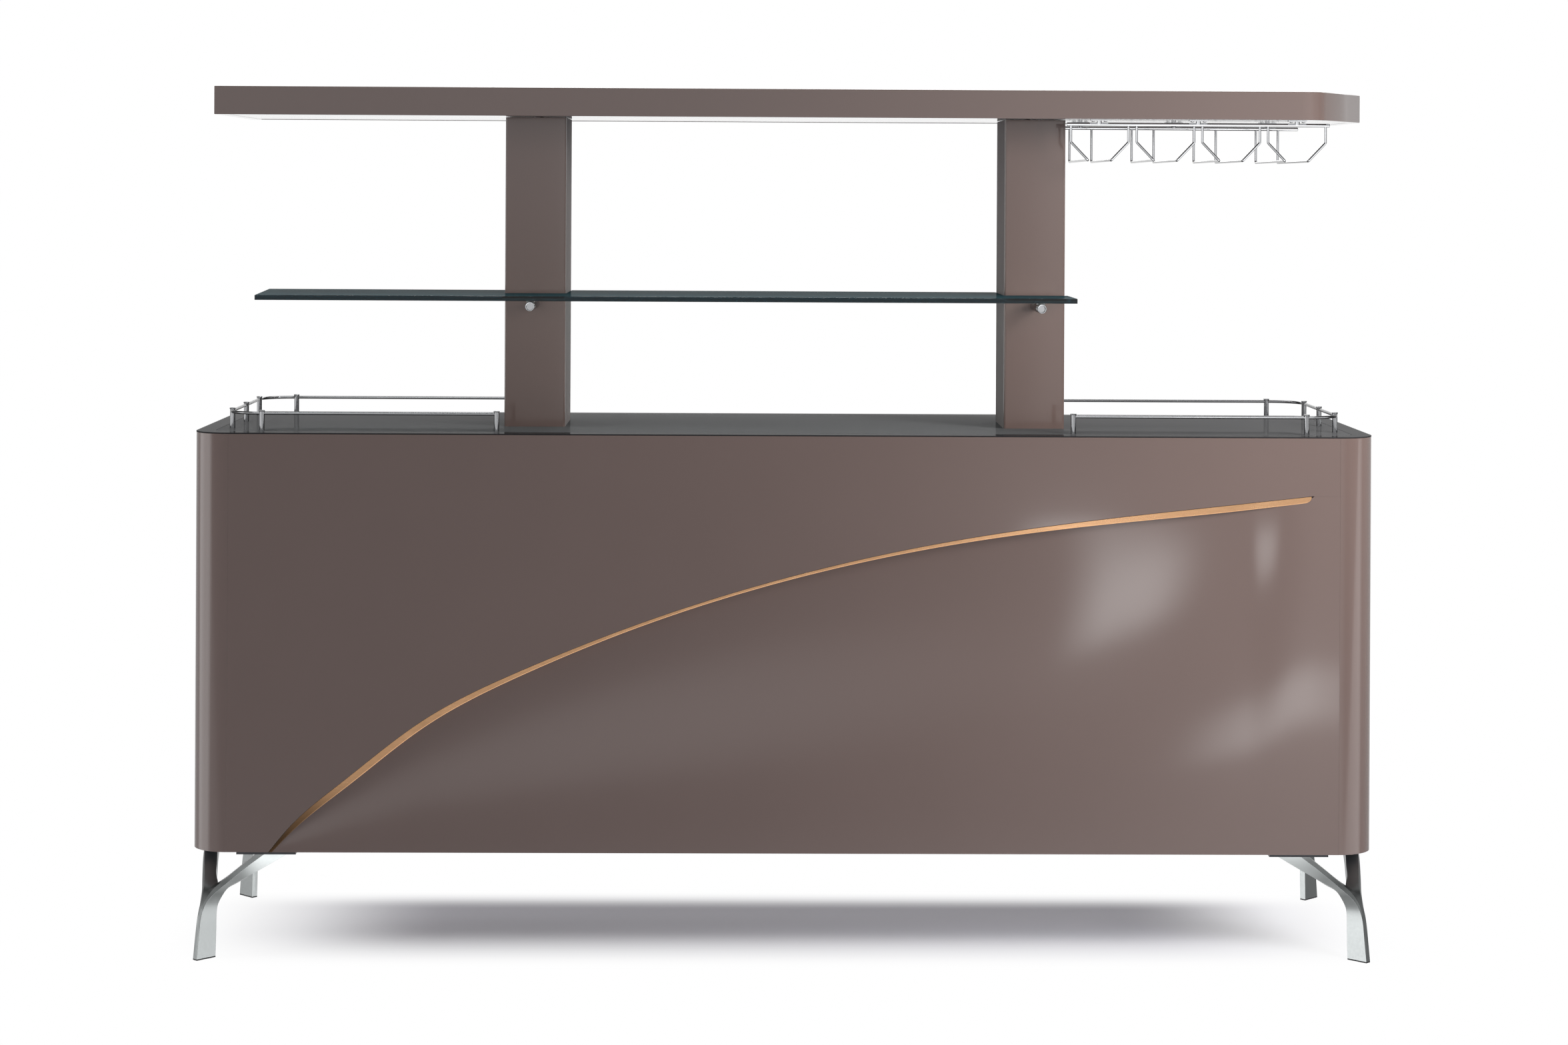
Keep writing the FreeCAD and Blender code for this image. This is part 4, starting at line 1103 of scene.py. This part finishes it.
@dataclass
class GlassShelf(SubAssembly):
    """The glass shelf with its two tubes and their pads.

    Args:
        top: The shelf's upper face in millimetres.
        thickness: The glass's thickness.
        drop: How far the tubes' axes lie below the glass.
    """

    top: float = 1065.0
    thickness: float = 8.0
    drop: float = 9.5

    # Open at the back round the left upright and cut at the right one
    OUTLINE = (
        (-850, -245), (467, -245), (467, -91), (361, -91), (361, 80),
        (-361, 80), (-361, -91), (-463, -91), (-463, 80), (-875, 80),
    )
    # A tube's rounded rim and recessed end, then its far end
    TUBE = (
        (POINT, 8.0), (5.5, 8.0), (5.5, 0.8), (5.8, 0.2), (6.3, 0.0), (6.9, 0.1),
        (7.3, 0.5), (7.5, 1.1), (7.5, 145.0), (POINT, 145.0),
    )
    TUBE_PLACE = (412.0, -225.0)
    PAD = (12.0, 25.0, 3.2)  # a pad's width, depth and height
    PAD_STARTS = (-213.0, -127.0)

    def build(self) -> None:
        """Make the sheet, its tubes and the clear pads between them."""
        under = self.top - self.thickness
        sheet = slab(np.array(self.OUTLINE, float), under, self.top)
        self.emit(
            "shelf_sheet", sheet, "clear_glass", "glass_shelf", sides="glass_edge", bevel=0.7
        )
        middle, front = self.TUBE_PLACE
        for side in Side:
            tube = turned(self.TUBE, (middle, front, under - self.drop), axis=1).on(side)
            self.emit(side.word + "_tube", tube, "chrome", side.word + "_shelf_support")
        wide, deep, tall = self.PAD
        plans = [rectangle(middle - wide / 2, middle + wide / 2, y, y + deep)
                 for y in self.PAD_STARTS]
        pads = [slab(plan, under - tall, under).on(side) for side in Side for plan in plans]
        self.emit("tube_pads", merged(pads), "clear_pad", "shelf_pads", bevel=0.5)


@dataclass
class Gallery(SubAssembly):
    """The bent rods and turned posts round both wings.

    Args:
        base: The countertop's height in millimetres.
        rise: The rods' height above it.
        rod: The rods' radius.
    """

    base: float = 845.0
    rise: float = 28.0
    rod: float = 2.5

    PLACES = ((466, -200), (844, -200), (900, -144), (900, 0), (900, 144), (844, 200), (466, 200))
    BEND = (848.0, 148.0, 52.0, 24)  # a bend's middle, its radius and its points
    ROD_AROUND, POST_AROUND = 20, 24
    # A post's stem, waist ring and domed cap
    POST = (
        (POINT, 0.0), (4.25, 0.0), (4.25, 30.6), (4.6, 30.9), (5.0, 31.4),
        (5.0, 32.2), (4.7, 32.7), (4.0, 32.95), (POINT, 33.0),
    )

    def build(self) -> None:
        """Make the rods, from an upright round the wing and back, and their posts."""
        x, y, radius, steps = self.BEND
        flat = np.vstack([
            self.PLACES[:1], arc(x, -y, radius, -90, 0, steps),
            arc(x, y, radius, 0, 90, steps), self.PLACES[-1:],
        ])
        path = np.column_stack([flat, np.full(len(flat), self.base + self.rise)])
        for side in Side:
            made = sweep(path, self.rod, self.ROD_AROUND).on(side)
            self.emit(side.word + "_rail", made, "chrome", side.word + "_gallery_rod")
        posts = [
            turned(self.POST, (*place, self.base), around=self.POST_AROUND).on(side)
            for side in Side for place in self.PLACES
        ]
        self.emit("rail_posts", merged(posts), "chrome", "gallery_posts")


@dataclass
class StemwareRack(SubAssembly):
    """The rack under the right wing: two bars, four channels of bent wire, screws.

    Args:
        bar_height: The bars' centre height in millimetres.
        start: The bars' left end.
        pitch: The width of a channel.
        channels: How many channels there are.
        front: Where the front bar lies.
        rear: Where the rear bar lies.
    """

    bar_height: float = 1347.0
    start: float = 458.0
    pitch: float = 107.5
    channels: int = 4
    front: float = -150.0
    rear: float = 150.0

    BAR, BAR_END, BAR_CHAMFER = 3.0, 2.4, 0.7
    LUG_INSET = 53.0
    STEM = ((POINT, 0.0), (4.0, 0.0), (4.0, 6.0), (POINT, 6.0))
    FLANGE = (15.0, 6.0, 1353.0, 1355.0)  # half its width and depth, and its two faces
    MOUTH, RAIL = 47.0, 19.0  # how far a wire's ends and its rail lie from the channel's middle
    KNEE, DROP = 29.0, 58.5  # how far its knee and its rail lie below the bars
    WIRE, WIRE_BEND = 2.0, 4.0
    SCREW = (
        (POINT, -2.0), (1.6, -1.9), (2.6, -1.4), (3.2, -0.6), (3.3, 0.0),
        (1.75, 0.0), (1.75, 4.0), (POINT, 4.0),
    )
    SCREW_SHIFT = 10.0
    BAR_AROUND, WIRE_AROUND, SCREW_AROUND = 20, 14, 18

    @property
    def length(self) -> float:
        """The bars' length."""
        return self.pitch * self.channels

    def lug_places(self) -> list:
        """Return the plan places of the lugs."""
        end = self.start + self.length
        across = (self.start + self.LUG_INSET, (self.start + end) / 2, end - self.LUG_INSET)
        return [(x, y) for y in (self.front, self.rear) for x in across]

    def bars(self) -> None:
        """Make the two bars with their lugs."""
        profile = (
            (POINT, 0.0), (self.BAR_END, 0.0), (self.BAR, self.BAR_CHAMFER),
            (self.BAR, self.length - self.BAR_CHAMFER), (self.BAR_END, self.length),
            (POINT, self.length),
        )
        parts = [
            turned(profile, (self.start, y, self.bar_height), axis=0, around=self.BAR_AROUND)
            for y in (self.front, self.rear)
        ]
        wide, deep, low, high = self.FLANGE
        for x, y in self.lug_places():
            parts.append(turned(self.STEM, (x, y, self.bar_height), around=self.BAR_AROUND))
            parts.append(slab(rectangle(x - wide, x + wide, y - deep, y + deep), low, high))
        self.emit("rack_cross_bars", merged(parts), "chrome", "rack_bars")

    def channel(self, number: int) -> None:
        """Make the two bent wires of one channel."""
        centre = self.start + self.pitch * (number - 0.5)
        knee, low = self.bar_height - self.KNEE, self.bar_height - self.DROP
        wires = []
        for side in Side:
            mouth, rail = centre + side.value * self.MOUTH, centre + side.value * self.RAIL
            corners = [
                (mouth, self.front, self.bar_height), (mouth, self.front, knee),
                (rail, self.front, low), (rail, self.rear, low),
                (rail, self.rear, self.bar_height),
            ]
            path = rounded_path(corners, self.WIRE_BEND)
            wires.append(sweep(path, self.WIRE, self.WIRE_AROUND))
        name, node = "rack_wires_%d" % number, "rack_channel_%d" % number
        self.emit(name, merged(wires), "chrome", node)

    def screws(self) -> None:
        """Make the domed screws of the lugs."""
        low = self.FLANGE[2]
        made = [
            turned(self.SCREW, (x + shift, y, low), around=self.SCREW_AROUND)
            for x, y in self.lug_places() for shift in (-self.SCREW_SHIFT, self.SCREW_SHIFT)
        ]
        self.emit("rack_lug_screws", merged(made), "steel", "rack_screws")

    def build(self) -> None:
        """Make the bars, the channels and the screws."""
        self.bars()
        for number in range(1, self.channels + 1):
            self.channel(number)
        self.screws()


@dataclass
class Legs(SubAssembly):
    """The four cast legs on their glides.

    A corner's own frame counts u inward along the front and v inward along the side, both
    from the counter's corner. Half a leg lies on the side of the corner's diagonal where u
    is larger. Its five long edges run from the foot up and out along the arm, as shares of
    the arm's reach and of the legs' height.

    Args:
        top: The height of the legs' upper faces in millimetres.
        reach: How far an arm reaches from the corner.
        half_width: Half of the counter's width.
        half_depth: Half of its depth.
    """

    top: float = 170.0
    reach: float = 160.0
    half_width: float = 950.0
    half_depth: float = 250.0

    RIDGE = (
        (0.1069, 0.0606, 0.2882), (0.1263, 0.0794, 0.4353), (0.1525, 0.0919, 0.5059),
        (0.1906, 0.0963, 0.5647), (0.2531, 0.0950, 0.6265), (0.3281, 0.0844, 0.6882),
        (0.4144, 0.0719, 0.7565), (0.5012, 0.0600, 0.8235), (0.5869, 0.0512, 0.8894),
        (0.6719, 0.0475, 0.9500), (0.7438, 0.0512, 1.0000),
    )
    CREST = (
        (0.0956, 0.0719, 0.2882), (0.1137, 0.0900, 0.4353), (0.1294, 0.1000, 0.5029),
        (0.1562, 0.1081, 0.5618), (0.2031, 0.1156, 0.6294), (0.2656, 0.1150, 0.6912),
        (0.3438, 0.1050, 0.7518), (0.4313, 0.0887, 0.8224), (0.5188, 0.0738, 0.8894),
        (0.6031, 0.0638, 0.9518), (0.6656, 0.0613, 1.0000),
    )
    INNER_CREST = (
        (0.0644, 0.1031, 0.2882), (0.0825, 0.1212, 0.4353), (0.0931, 0.1363, 0.5059),
        (0.1100, 0.1537, 0.5676), (0.1469, 0.1906, 0.6382), (0.2313, 0.2531, 0.6824),
        (0.3344, 0.2250, 0.7471), (0.4313, 0.2125, 0.8194), (0.5188, 0.2031, 0.8865),
        (0.6031, 0.1938, 0.9506), (0.6656, 0.1875, 1.0000),
    )
    INNER_LOWER = (
        (0.2075, 0.2462, 0.2882), (0.2100, 0.2500, 0.4294), (0.2250, 0.2562, 0.4765),
        (0.2531, 0.2656, 0.5265), (0.3000, 0.2469, 0.5824), (0.3594, 0.2313, 0.6441),
        (0.4375, 0.2156, 0.6882), (0.5250, 0.2062, 0.7382), (0.6312, 0.1938, 0.8000),
        (0.7875, 0.1812, 0.8882), (0.9750, 0.1688, 1.0000),
    )
    OUTER_LOWER = (
        (0.2500, 0.2038, 0.2882), (0.2531, 0.2062, 0.4294), (0.2625, 0.2038, 0.4882),
        (0.2863, 0.1938, 0.5412), (0.3300, 0.1812, 0.6118), (0.3812, 0.1688, 0.6676),
        (0.4531, 0.1537, 0.7118), (0.5375, 0.1406, 0.7571), (0.6406, 0.1250, 0.8118),
        (0.8000, 0.1031, 0.9000), (0.9750, 0.0813, 1.0000),
    )
    # Where each edge starts on the foot, along the diagonal and across it, in half feet
    STARTS = ((-1, 1), (-1, 0.5), (-1, -0.8), (1, -0.8), (1, 1))
    FOOT = (36.2, 10.5)  # the foot's length along the diagonal and its width
    FOOT_PLACE = (22.4, 22.4, 2.0)
    SECTIONS = 84
    CUT_GAP = 1e-7  # the distance in metres under which a point lies on the diagonal's plane
    SHARP = 16.0  # the angle in degrees from which an edge of a leg counts as sharp

    def half(self) -> Surface:
        """Return half a leg, uncut, with u as X and v as Y in metres."""
        edges = (self.RIDGE, self.CREST, self.INNER_CREST, self.INNER_LOWER, self.OUTER_LOWER)
        long, wide = (length / 2 / math.sqrt(2) for length in self.FOOT)
        columns = []
        for (turn, share), edge in zip(self.STARTS, edges):
            along, across = long * turn, wide * share
            start = np.array([along + across, along - across, 0.0]) + self.FOOT_PLACE
            columns.append(np.vstack([start, np.array(edge) * (self.reach, self.reach, self.top)]))
        rings = spline(np.hstack(columns), self.SECTIONS)
        return loft(rings.reshape(self.SECTIONS, len(edges), 3) * MM)

    def casting(self) -> Surface:
        """Return a leg in the corner's frame: the half cut at the diagonal, and its mirror."""
        half = self.half()
        work = bmesh.new()
        points = [work.verts.new(tuple(p)) for p in half.points]
        for face in half.faces:
            work.faces.new([points[i] for i in face])
        bmesh.ops.bisect_plane(
            work, geom=work.verts[:] + work.edges[:] + work.faces[:], dist=self.CUT_GAP,
            plane_co=(0.0, 0.0, 0.0), plane_no=(-1.0, 1.0, 0.0), clear_outer=True,
        )
        work.verts.index_update()
        cut = np.array([tuple(v.co) for v in work.verts])
        faces = [tuple(v.index for v in face.verts) for face in work.faces]
        work.free()
        mirrored = Surface(cut[:, [1, 0, 2]], [face[::-1] for face in faces])
        return Surface(cut, faces).joined(mirrored)

    def placed(self, made: Surface, side: Side, rear: bool) -> Surface:
        """Return a corner's surface as it sits at one of the four corners.

        Args:
            made: A surface with u as X, v as Y, in metres.
            side: Which end of the counter.
            rear: Whether it is at the back.
        """
        u, v, z = made.points.T
        x = side.value * (self.half_width * MM - u) + CENTRE_X * MM
        y = (self.half_depth * MM - v) * (1 if rear else -1)
        return Surface(np.column_stack([x, y, z]), made.faces)

    def build(self) -> None:
        """Make the four legs, each a foot and two arms in one casting."""
        made = self.casting()
        for side in Side:
            for word in ("front", "rear"):
                place = "%s_%s" % (word, side.word)
                self.emit(
                    place + "_casting", self.placed(made, side, word == "rear"),
                    "leg_metal", place + "_leg", bevel=0.7, limit=self.SHARP,
                )


@dataclass
class WorkingSide(SubAssembly):
    """The doors and the drawer's front on the back, with their finger pulls.

    Args:
        inner: The leaves' inner plane in millimetres.
        outer: Their rear plane.
        pocket: The depth of the pockets for the pulls.
        rim: The width of a pull's rim.
        bottom: The thickness of a pull's bottom.
    """

    inner: float = 230.0
    outer: float = 248.0
    pocket: float = 12.0
    rim: float = 2.0
    bottom: float = 2.0

    # x0, x1, z0, z1 of the fronts and of their pulls
    LEAF = (291.0, 879.0, 197.0, 821.0)
    DOOR_PULL = (321.0, 353.0, 449.0, 569.0)
    DRAWER = (-289.0, 289.0, 660.0, 821.0)
    DRAWER_PULL = (-60.0, 60.0, 759.0, 791.0)
    LAP = 1.0  # how far a door's half-round edge reaches into its leaf
    EDGE_STEPS = 20

    def front(self, place: tuple, pull: tuple) -> Surface:
        """Return a front with the pocket of its pull, from the places of both."""
        return pocket_plate(place, pull, self.inner, self.outer, self.outer - self.pocket)

    def edge(self) -> Surface:
        """Return the half-round hinge edge of a door."""
        _, x, low, high = self.LEAF
        radius = (self.outer - self.inner) / 2
        bow = arc(x, self.inner + radius, radius, -90, 90, self.EDGE_STEPS)
        lap = [[x - self.LAP, self.outer], [x - self.LAP, self.inner]]
        return slab(np.vstack([bow, lap]), low, high)

    def cup(self, name: str, place: tuple, node: str, body: Body, side: Side) -> None:
        """Make a flush finger pull.

        Args:
            name: The piece's name.
            place: x0, x1, z0, z1 of its rim in millimetres.
            node: The solid that it stands for.
            body: The body that carries it.
            side: The side on which it sits.
        """
        x0, x1, z0, z1 = place
        hollow = (x0 + self.rim, x1 - self.rim, z0 + self.rim, z1 - self.rim)
        back = self.outer - self.pocket
        made = pocket_plate(place, hollow, back, self.outer, back + self.bottom)
        self.emit(name, made.on(side), "dark_metal", node, body, bevel=0.4)

    def build(self) -> None:
        """Make the doors, the drawer's front and the pulls."""
        for side in Side:
            word, body = side.word, Body(side.word + "_door")
            leaf = self.front(self.LEAF, self.DOOR_PULL).joined(self.edge()).on(side)
            self.emit(word + "_leaf", leaf, "taupe_lacquer", word + "_door", body, bevel=0.7)
            cup, node = word + "_finger_cup", word + "_door_pull"
            self.cup(cup, self.DOOR_PULL, node, body, side)
        made = self.front(self.DRAWER, self.DRAWER_PULL)
        self.emit("drawer_face", made, "taupe_lacquer", "drawer_front", Body.DRAWER, bevel=0.7)
        cup, node = "drawer_finger_cup", "drawer_pull"
        self.cup(cup, self.DRAWER_PULL, node, Body.DRAWER, Side.RIGHT)


# The studio


def quad(name: str, corners: list, material: bpy.types.Material) -> bpy.types.Object:
    """Return a flat four-cornered object of the studio."""
    mesh = bpy.data.meshes.new(name)
    mesh.from_pydata(corners, [], [(0, 1, 2, 3)])
    mesh.materials.append(material)
    made = bpy.data.objects.new(name, mesh)
    bpy.context.scene.collection.objects.link(made)
    return made


@dataclass(frozen=True)
class Softbox:
    """A rectangular lamp.

    Args:
        name: The lamp's name.
        place: Where it stands, in metres.
        aim: The point it faces.
        size: Its width and height.
        power: Its power in watts.
        mirrored: Whether gloss and metal mirror it.
        spread: The width of its beam in degrees.
    """

    name: str
    place: tuple
    aim: tuple
    size: tuple
    power: float
    mirrored: bool = True
    spread: float = 180.0

    def build(self) -> None:
        """Add the lamp."""
        data = bpy.data.lights.new(self.name, "AREA")
        data.shape = "RECTANGLE"
        data.size, data.size_y = self.size
        data.energy = self.power
        data.spread = math.radians(self.spread)
        lamp = bpy.data.objects.new(self.name, data)
        lamp.location = self.place
        lamp.visible_glossy = self.mirrored
        towards = Vector(self.aim) - Vector(self.place)
        lamp.rotation_euler = towards.to_track_quat("-Z", "Y").to_euler()
        bpy.context.scene.collection.objects.link(lamp)


@dataclass(frozen=True)
class Glint:
    """A soft-edged bright panel before the piece, which only its gloss mirrors.

    Args:
        name: The panel's name.
        place: Its middle, in metres.
        size: Its width and height.
        strength: Its strength in the middle.
    """

    name: str
    place: tuple
    size: tuple
    strength: float

    FADE = (0.10, 0.50, 1.0, 0.0)  # from its middle to its edge, as shares of its size

    def build(self) -> None:
        """Add the panel."""
        paint = Paint(self.name)
        paint.nodes.remove(paint.shader)
        place = paint.axes("Generated")
        level = self.strength
        for axis in ("X", "Z"):
            off = paint.math("ABSOLUTE", paint.math("SUBTRACT", place[axis], 0.5))
            level = paint.math("MULTIPLY", paint.step(off, *self.FADE), level)
        clear = paint.add("BsdfTransparent").outputs["BSDF"]
        glow = paint.add("Emission", Strength=level).outputs["Emission"]
        material = paint.shown(paint.add("AddShader", clear, glow).outputs["Shader"])
        x, y, z = self.place
        wide, tall = self.size[0] / 2, self.size[1] / 2
        corners = [(x + a * wide, y, z + c * tall) for a, c in ((-1, 1), (1, 1), (1, -1), (-1, -1))]
        panel = quad(self.name, corners, material)
        panel.visible_camera = panel.visible_diffuse = False
        panel.visible_shadow = panel.visible_transmission = False


@dataclass(frozen=True)
class Studio:
    """Floor, background, lamps and camera.

    Args:
        place: The camera's place in metres.
        focal: The focal length in millimetres on a 36 mm sensor.
        yaw: How far the camera is turned to the right, in degrees.
        roll: How far it is turned about its own axis, in degrees.
        shift: The frame's downward shift as a share of its width.
        glow: The radiance of the surroundings that light the piece.
    """

    place: tuple = (-0.0751, -5.350, 1.232)
    focal: float = 73.2
    yaw: float = 0.707
    roll: float = 0.297
    shift: float = 0.2101
    glow: float = 0.30

    SENSOR, VIEW_END = 36.0, 100.0
    GLOW_TINT = (1.0, 0.99, 0.985, 1)
    FLOOR_TINT, FLOOR_SIZE = (0.83, 0.82, 0.90, 1), 30.0
    # Where the floor shows the shadow: beside the middle, before it and behind it, in metres
    SHADOW_SIDES = (0.56, 1.04, 0.93, 0.0)
    SHADOW_DEPTHS = ((-0.02, -0.29, 1.0, 0.0), (0.13, 0.27, 1.0, 0.0))
    NEAREST = 0.05  # keeps a direction's depth from nought
    # Steps of the mirrored room: start and end of each, and the levels before and after it
    ROOM = {
        "from the left": (-0.02, 0.22, 0.40, 0.72),
        "far right": (0.22, 0.60, 1.0, 0.35),
        "over the horizon": (-0.05, 0.03, 0.0, 0.60),
        "towards the ceiling": (0.07, 0.28, 1.0, 0.2),
        "near floor": (-0.21, -0.25, 0.0, 1.4),
        "near floor on the right": (-0.10, 0.10, 0.22, 1.0),
        "strip on the left": (0.86, 0.95, 0.0, 1.1),
        "strip's top": (0.05, 0.15, 1.0, 0.0),
        "front": (0.0, 0.25, 0.0, 1.0),
        "back's sides": (0.35, 0.60, 1.0, 0.42),
        "overhead": (0.22, 0.55, 1.0, 0.3),
    }
    LIGHTS = (
        Softbox("key_box", (2.0, -1.7, 1.6), (1.0, -0.2, 0.95), (1.0, 1.4), 17.5, False, 70.0),
        Glint("high_panel", (0.66, -2.25, 0.455), (0.30, 0.15), 4.8),
        Glint("low_panel", (1.10, -2.25, 0.12), (0.56, 0.20), 3.4),
        Softbox("fill_box", (-3.4, -1.0, 1.7), (0.0, -0.1, 0.8), (1.6, 2.2), 50.0, False),
        Softbox("top_box", (0.0, 0.3, 4.4), (0.0, 0.0, 0.8), (4.5, 3.0), 104.0),
        Softbox("back_box", (0.5, 4.2, 2.8), (0.0, 0.0, 0.7), (3.0, 2.0), 60.0),
    )

    def floor(self) -> None:
        """Make the pale floor: white where nothing stands, with the piece's soft shadow."""
        paint = Paint("studio_floor")
        paint.fill(paint.shader, Base_Color=self.FLOOR_TINT, Roughness=0.9, IOR=1.02)
        place = paint.axes("Object")
        kept = paint.step(paint.math("ABSOLUTE", place["X"]), *self.SHADOW_SIDES)
        for levels in self.SHADOW_DEPTHS:
            kept = paint.math("MULTIPLY", kept, paint.step(place["Y"], *levels))
        fade = paint.math("SUBTRACT", 1.0, kept)
        seen = paint.seen("Is Camera Ray", "Is Glossy Ray", "Is Transmission Ray")
        white = paint.add("Emission", Color=WHITE, Strength=1.0).outputs["Emission"]
        share = paint.math("MULTIPLY", fade, seen)
        material = paint.shown(paint.blend(share, paint.shader.outputs["BSDF"], white))
        size = self.FLOOR_SIZE
        corners = [(x, y, 0.0) for x, y in rectangle(-size, size, -size, size)]
        quad("studio_floor", corners, material).visible_glossy = False

    def mirrored_room(self, graph: Graph) -> bpy.types.NodeSocket:
        """Return the strength of what gloss and metal mirror.

        Behind the piece it is the white background, dimmer far to the sides. In front it is
        a studio that is dim on the left, lighter on the right and above the horizon, with a
        pale floor close by and a bright strip far to the left. Across and rise are a
        direction's slopes against its depth.

        Args:
            graph: The world's node tree.
        """
        def step(source: object, name: str) -> bpy.types.NodeSocket:
            return graph.step(source, *self.ROOM[name])

        calc = graph.math
        way = graph.axes("Generated")
        x, z = way["X"], way["Z"]
        ahead = calc("MULTIPLY", way["Y"], -1.0)
        depth = calc("MAXIMUM", ahead, self.NEAREST)
        across, rise = calc("DIVIDE", x, depth), calc("DIVIDE", z, depth)
        room = calc("MULTIPLY", step(across, "from the left"), step(across, "far right"))
        room = calc("ADD", room, step(rise, "over the horizon"))
        room = calc("MULTIPLY", room, step(rise, "towards the ceiling"))
        near = step(across, "near floor on the right")
        room = calc("ADD", room, calc("MULTIPLY", step(rise, "near floor"), near))
        strip = step(calc("MULTIPLY", x, -1.0), "strip on the left")
        strip = calc("MULTIPLY", strip, step(z, "strip's top"))
        back = step(calc("ABSOLUTE", x), "back's sides")
        lift = calc("MULTIPLY", step(ahead, "front"), calc("SUBTRACT", room, back))
        level = calc("ADD", calc("ADD", lift, back), strip)
        return calc("MULTIPLY", level, step(z, "overhead"))

    def world(self) -> None:
        """Make the surroundings: white behind the piece, and soft light for its colours."""
        world = bpy.data.worlds.new("studio_world")
        world.use_nodes = True
        bpy.context.scene.world = world
        graph = Graph(world.node_tree)
        graph.nodes.clear()
        soft, mirrored, white = (
            graph.add("Background", colour, strength).outputs["Background"]
            for colour, strength in (
                (self.GLOW_TINT, self.glow), (WHITE, self.mirrored_room(graph)), (WHITE, 1.0),
            )
        )
        lit = graph.blend(graph.seen("Is Glossy Ray"), soft, mirrored)
        looked_at = graph.seen("Is Camera Ray", "Is Transmission Ray")
        graph.add("OutputWorld", graph.blend(looked_at, lit, white))

    def camera(self) -> None:
        """Add the camera at the photograph's angle."""
        data = bpy.data.cameras.new("front_camera")
        data.sensor_width = self.SENSOR
        data.lens = self.focal
        data.shift_y = -self.shift
        data.clip_end = self.VIEW_END
        camera = bpy.data.objects.new("front_camera", data)
        camera.location = self.place
        turns = (90.0, -self.roll, -self.yaw)
        camera.rotation_euler = [math.radians(turn) for turn in turns]
        bpy.context.scene.collection.objects.link(camera)
        bpy.context.scene.camera = camera

    def build(self) -> None:
        """Make the whole studio."""
        bpy.context.scene.view_settings.view_transform = "Standard"
        self.floor()
        self.world()
        for light in self.LIGHTS:
            light.build()
        self.camera()


def main() -> None:
    """Build the sideboard's dress on its solids, then the studio."""
    logging.basicConfig(level=logging.INFO)
    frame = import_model()
    finishes = Finishes.mixed()
    finishes.dress(frame)
    for part in (
        CounterCase(finishes),
        Countertop(finishes),
        Canopy(finishes),
        GlassShelf(finishes),
        Gallery(finishes),
        StemwareRack(finishes),
        Legs(finishes),
        WorkingSide(finishes),
        Studio(),
    ):
        part.build()
        log.info("%s built", type(part).__name__)


if __name__ == "__main__":
    main()
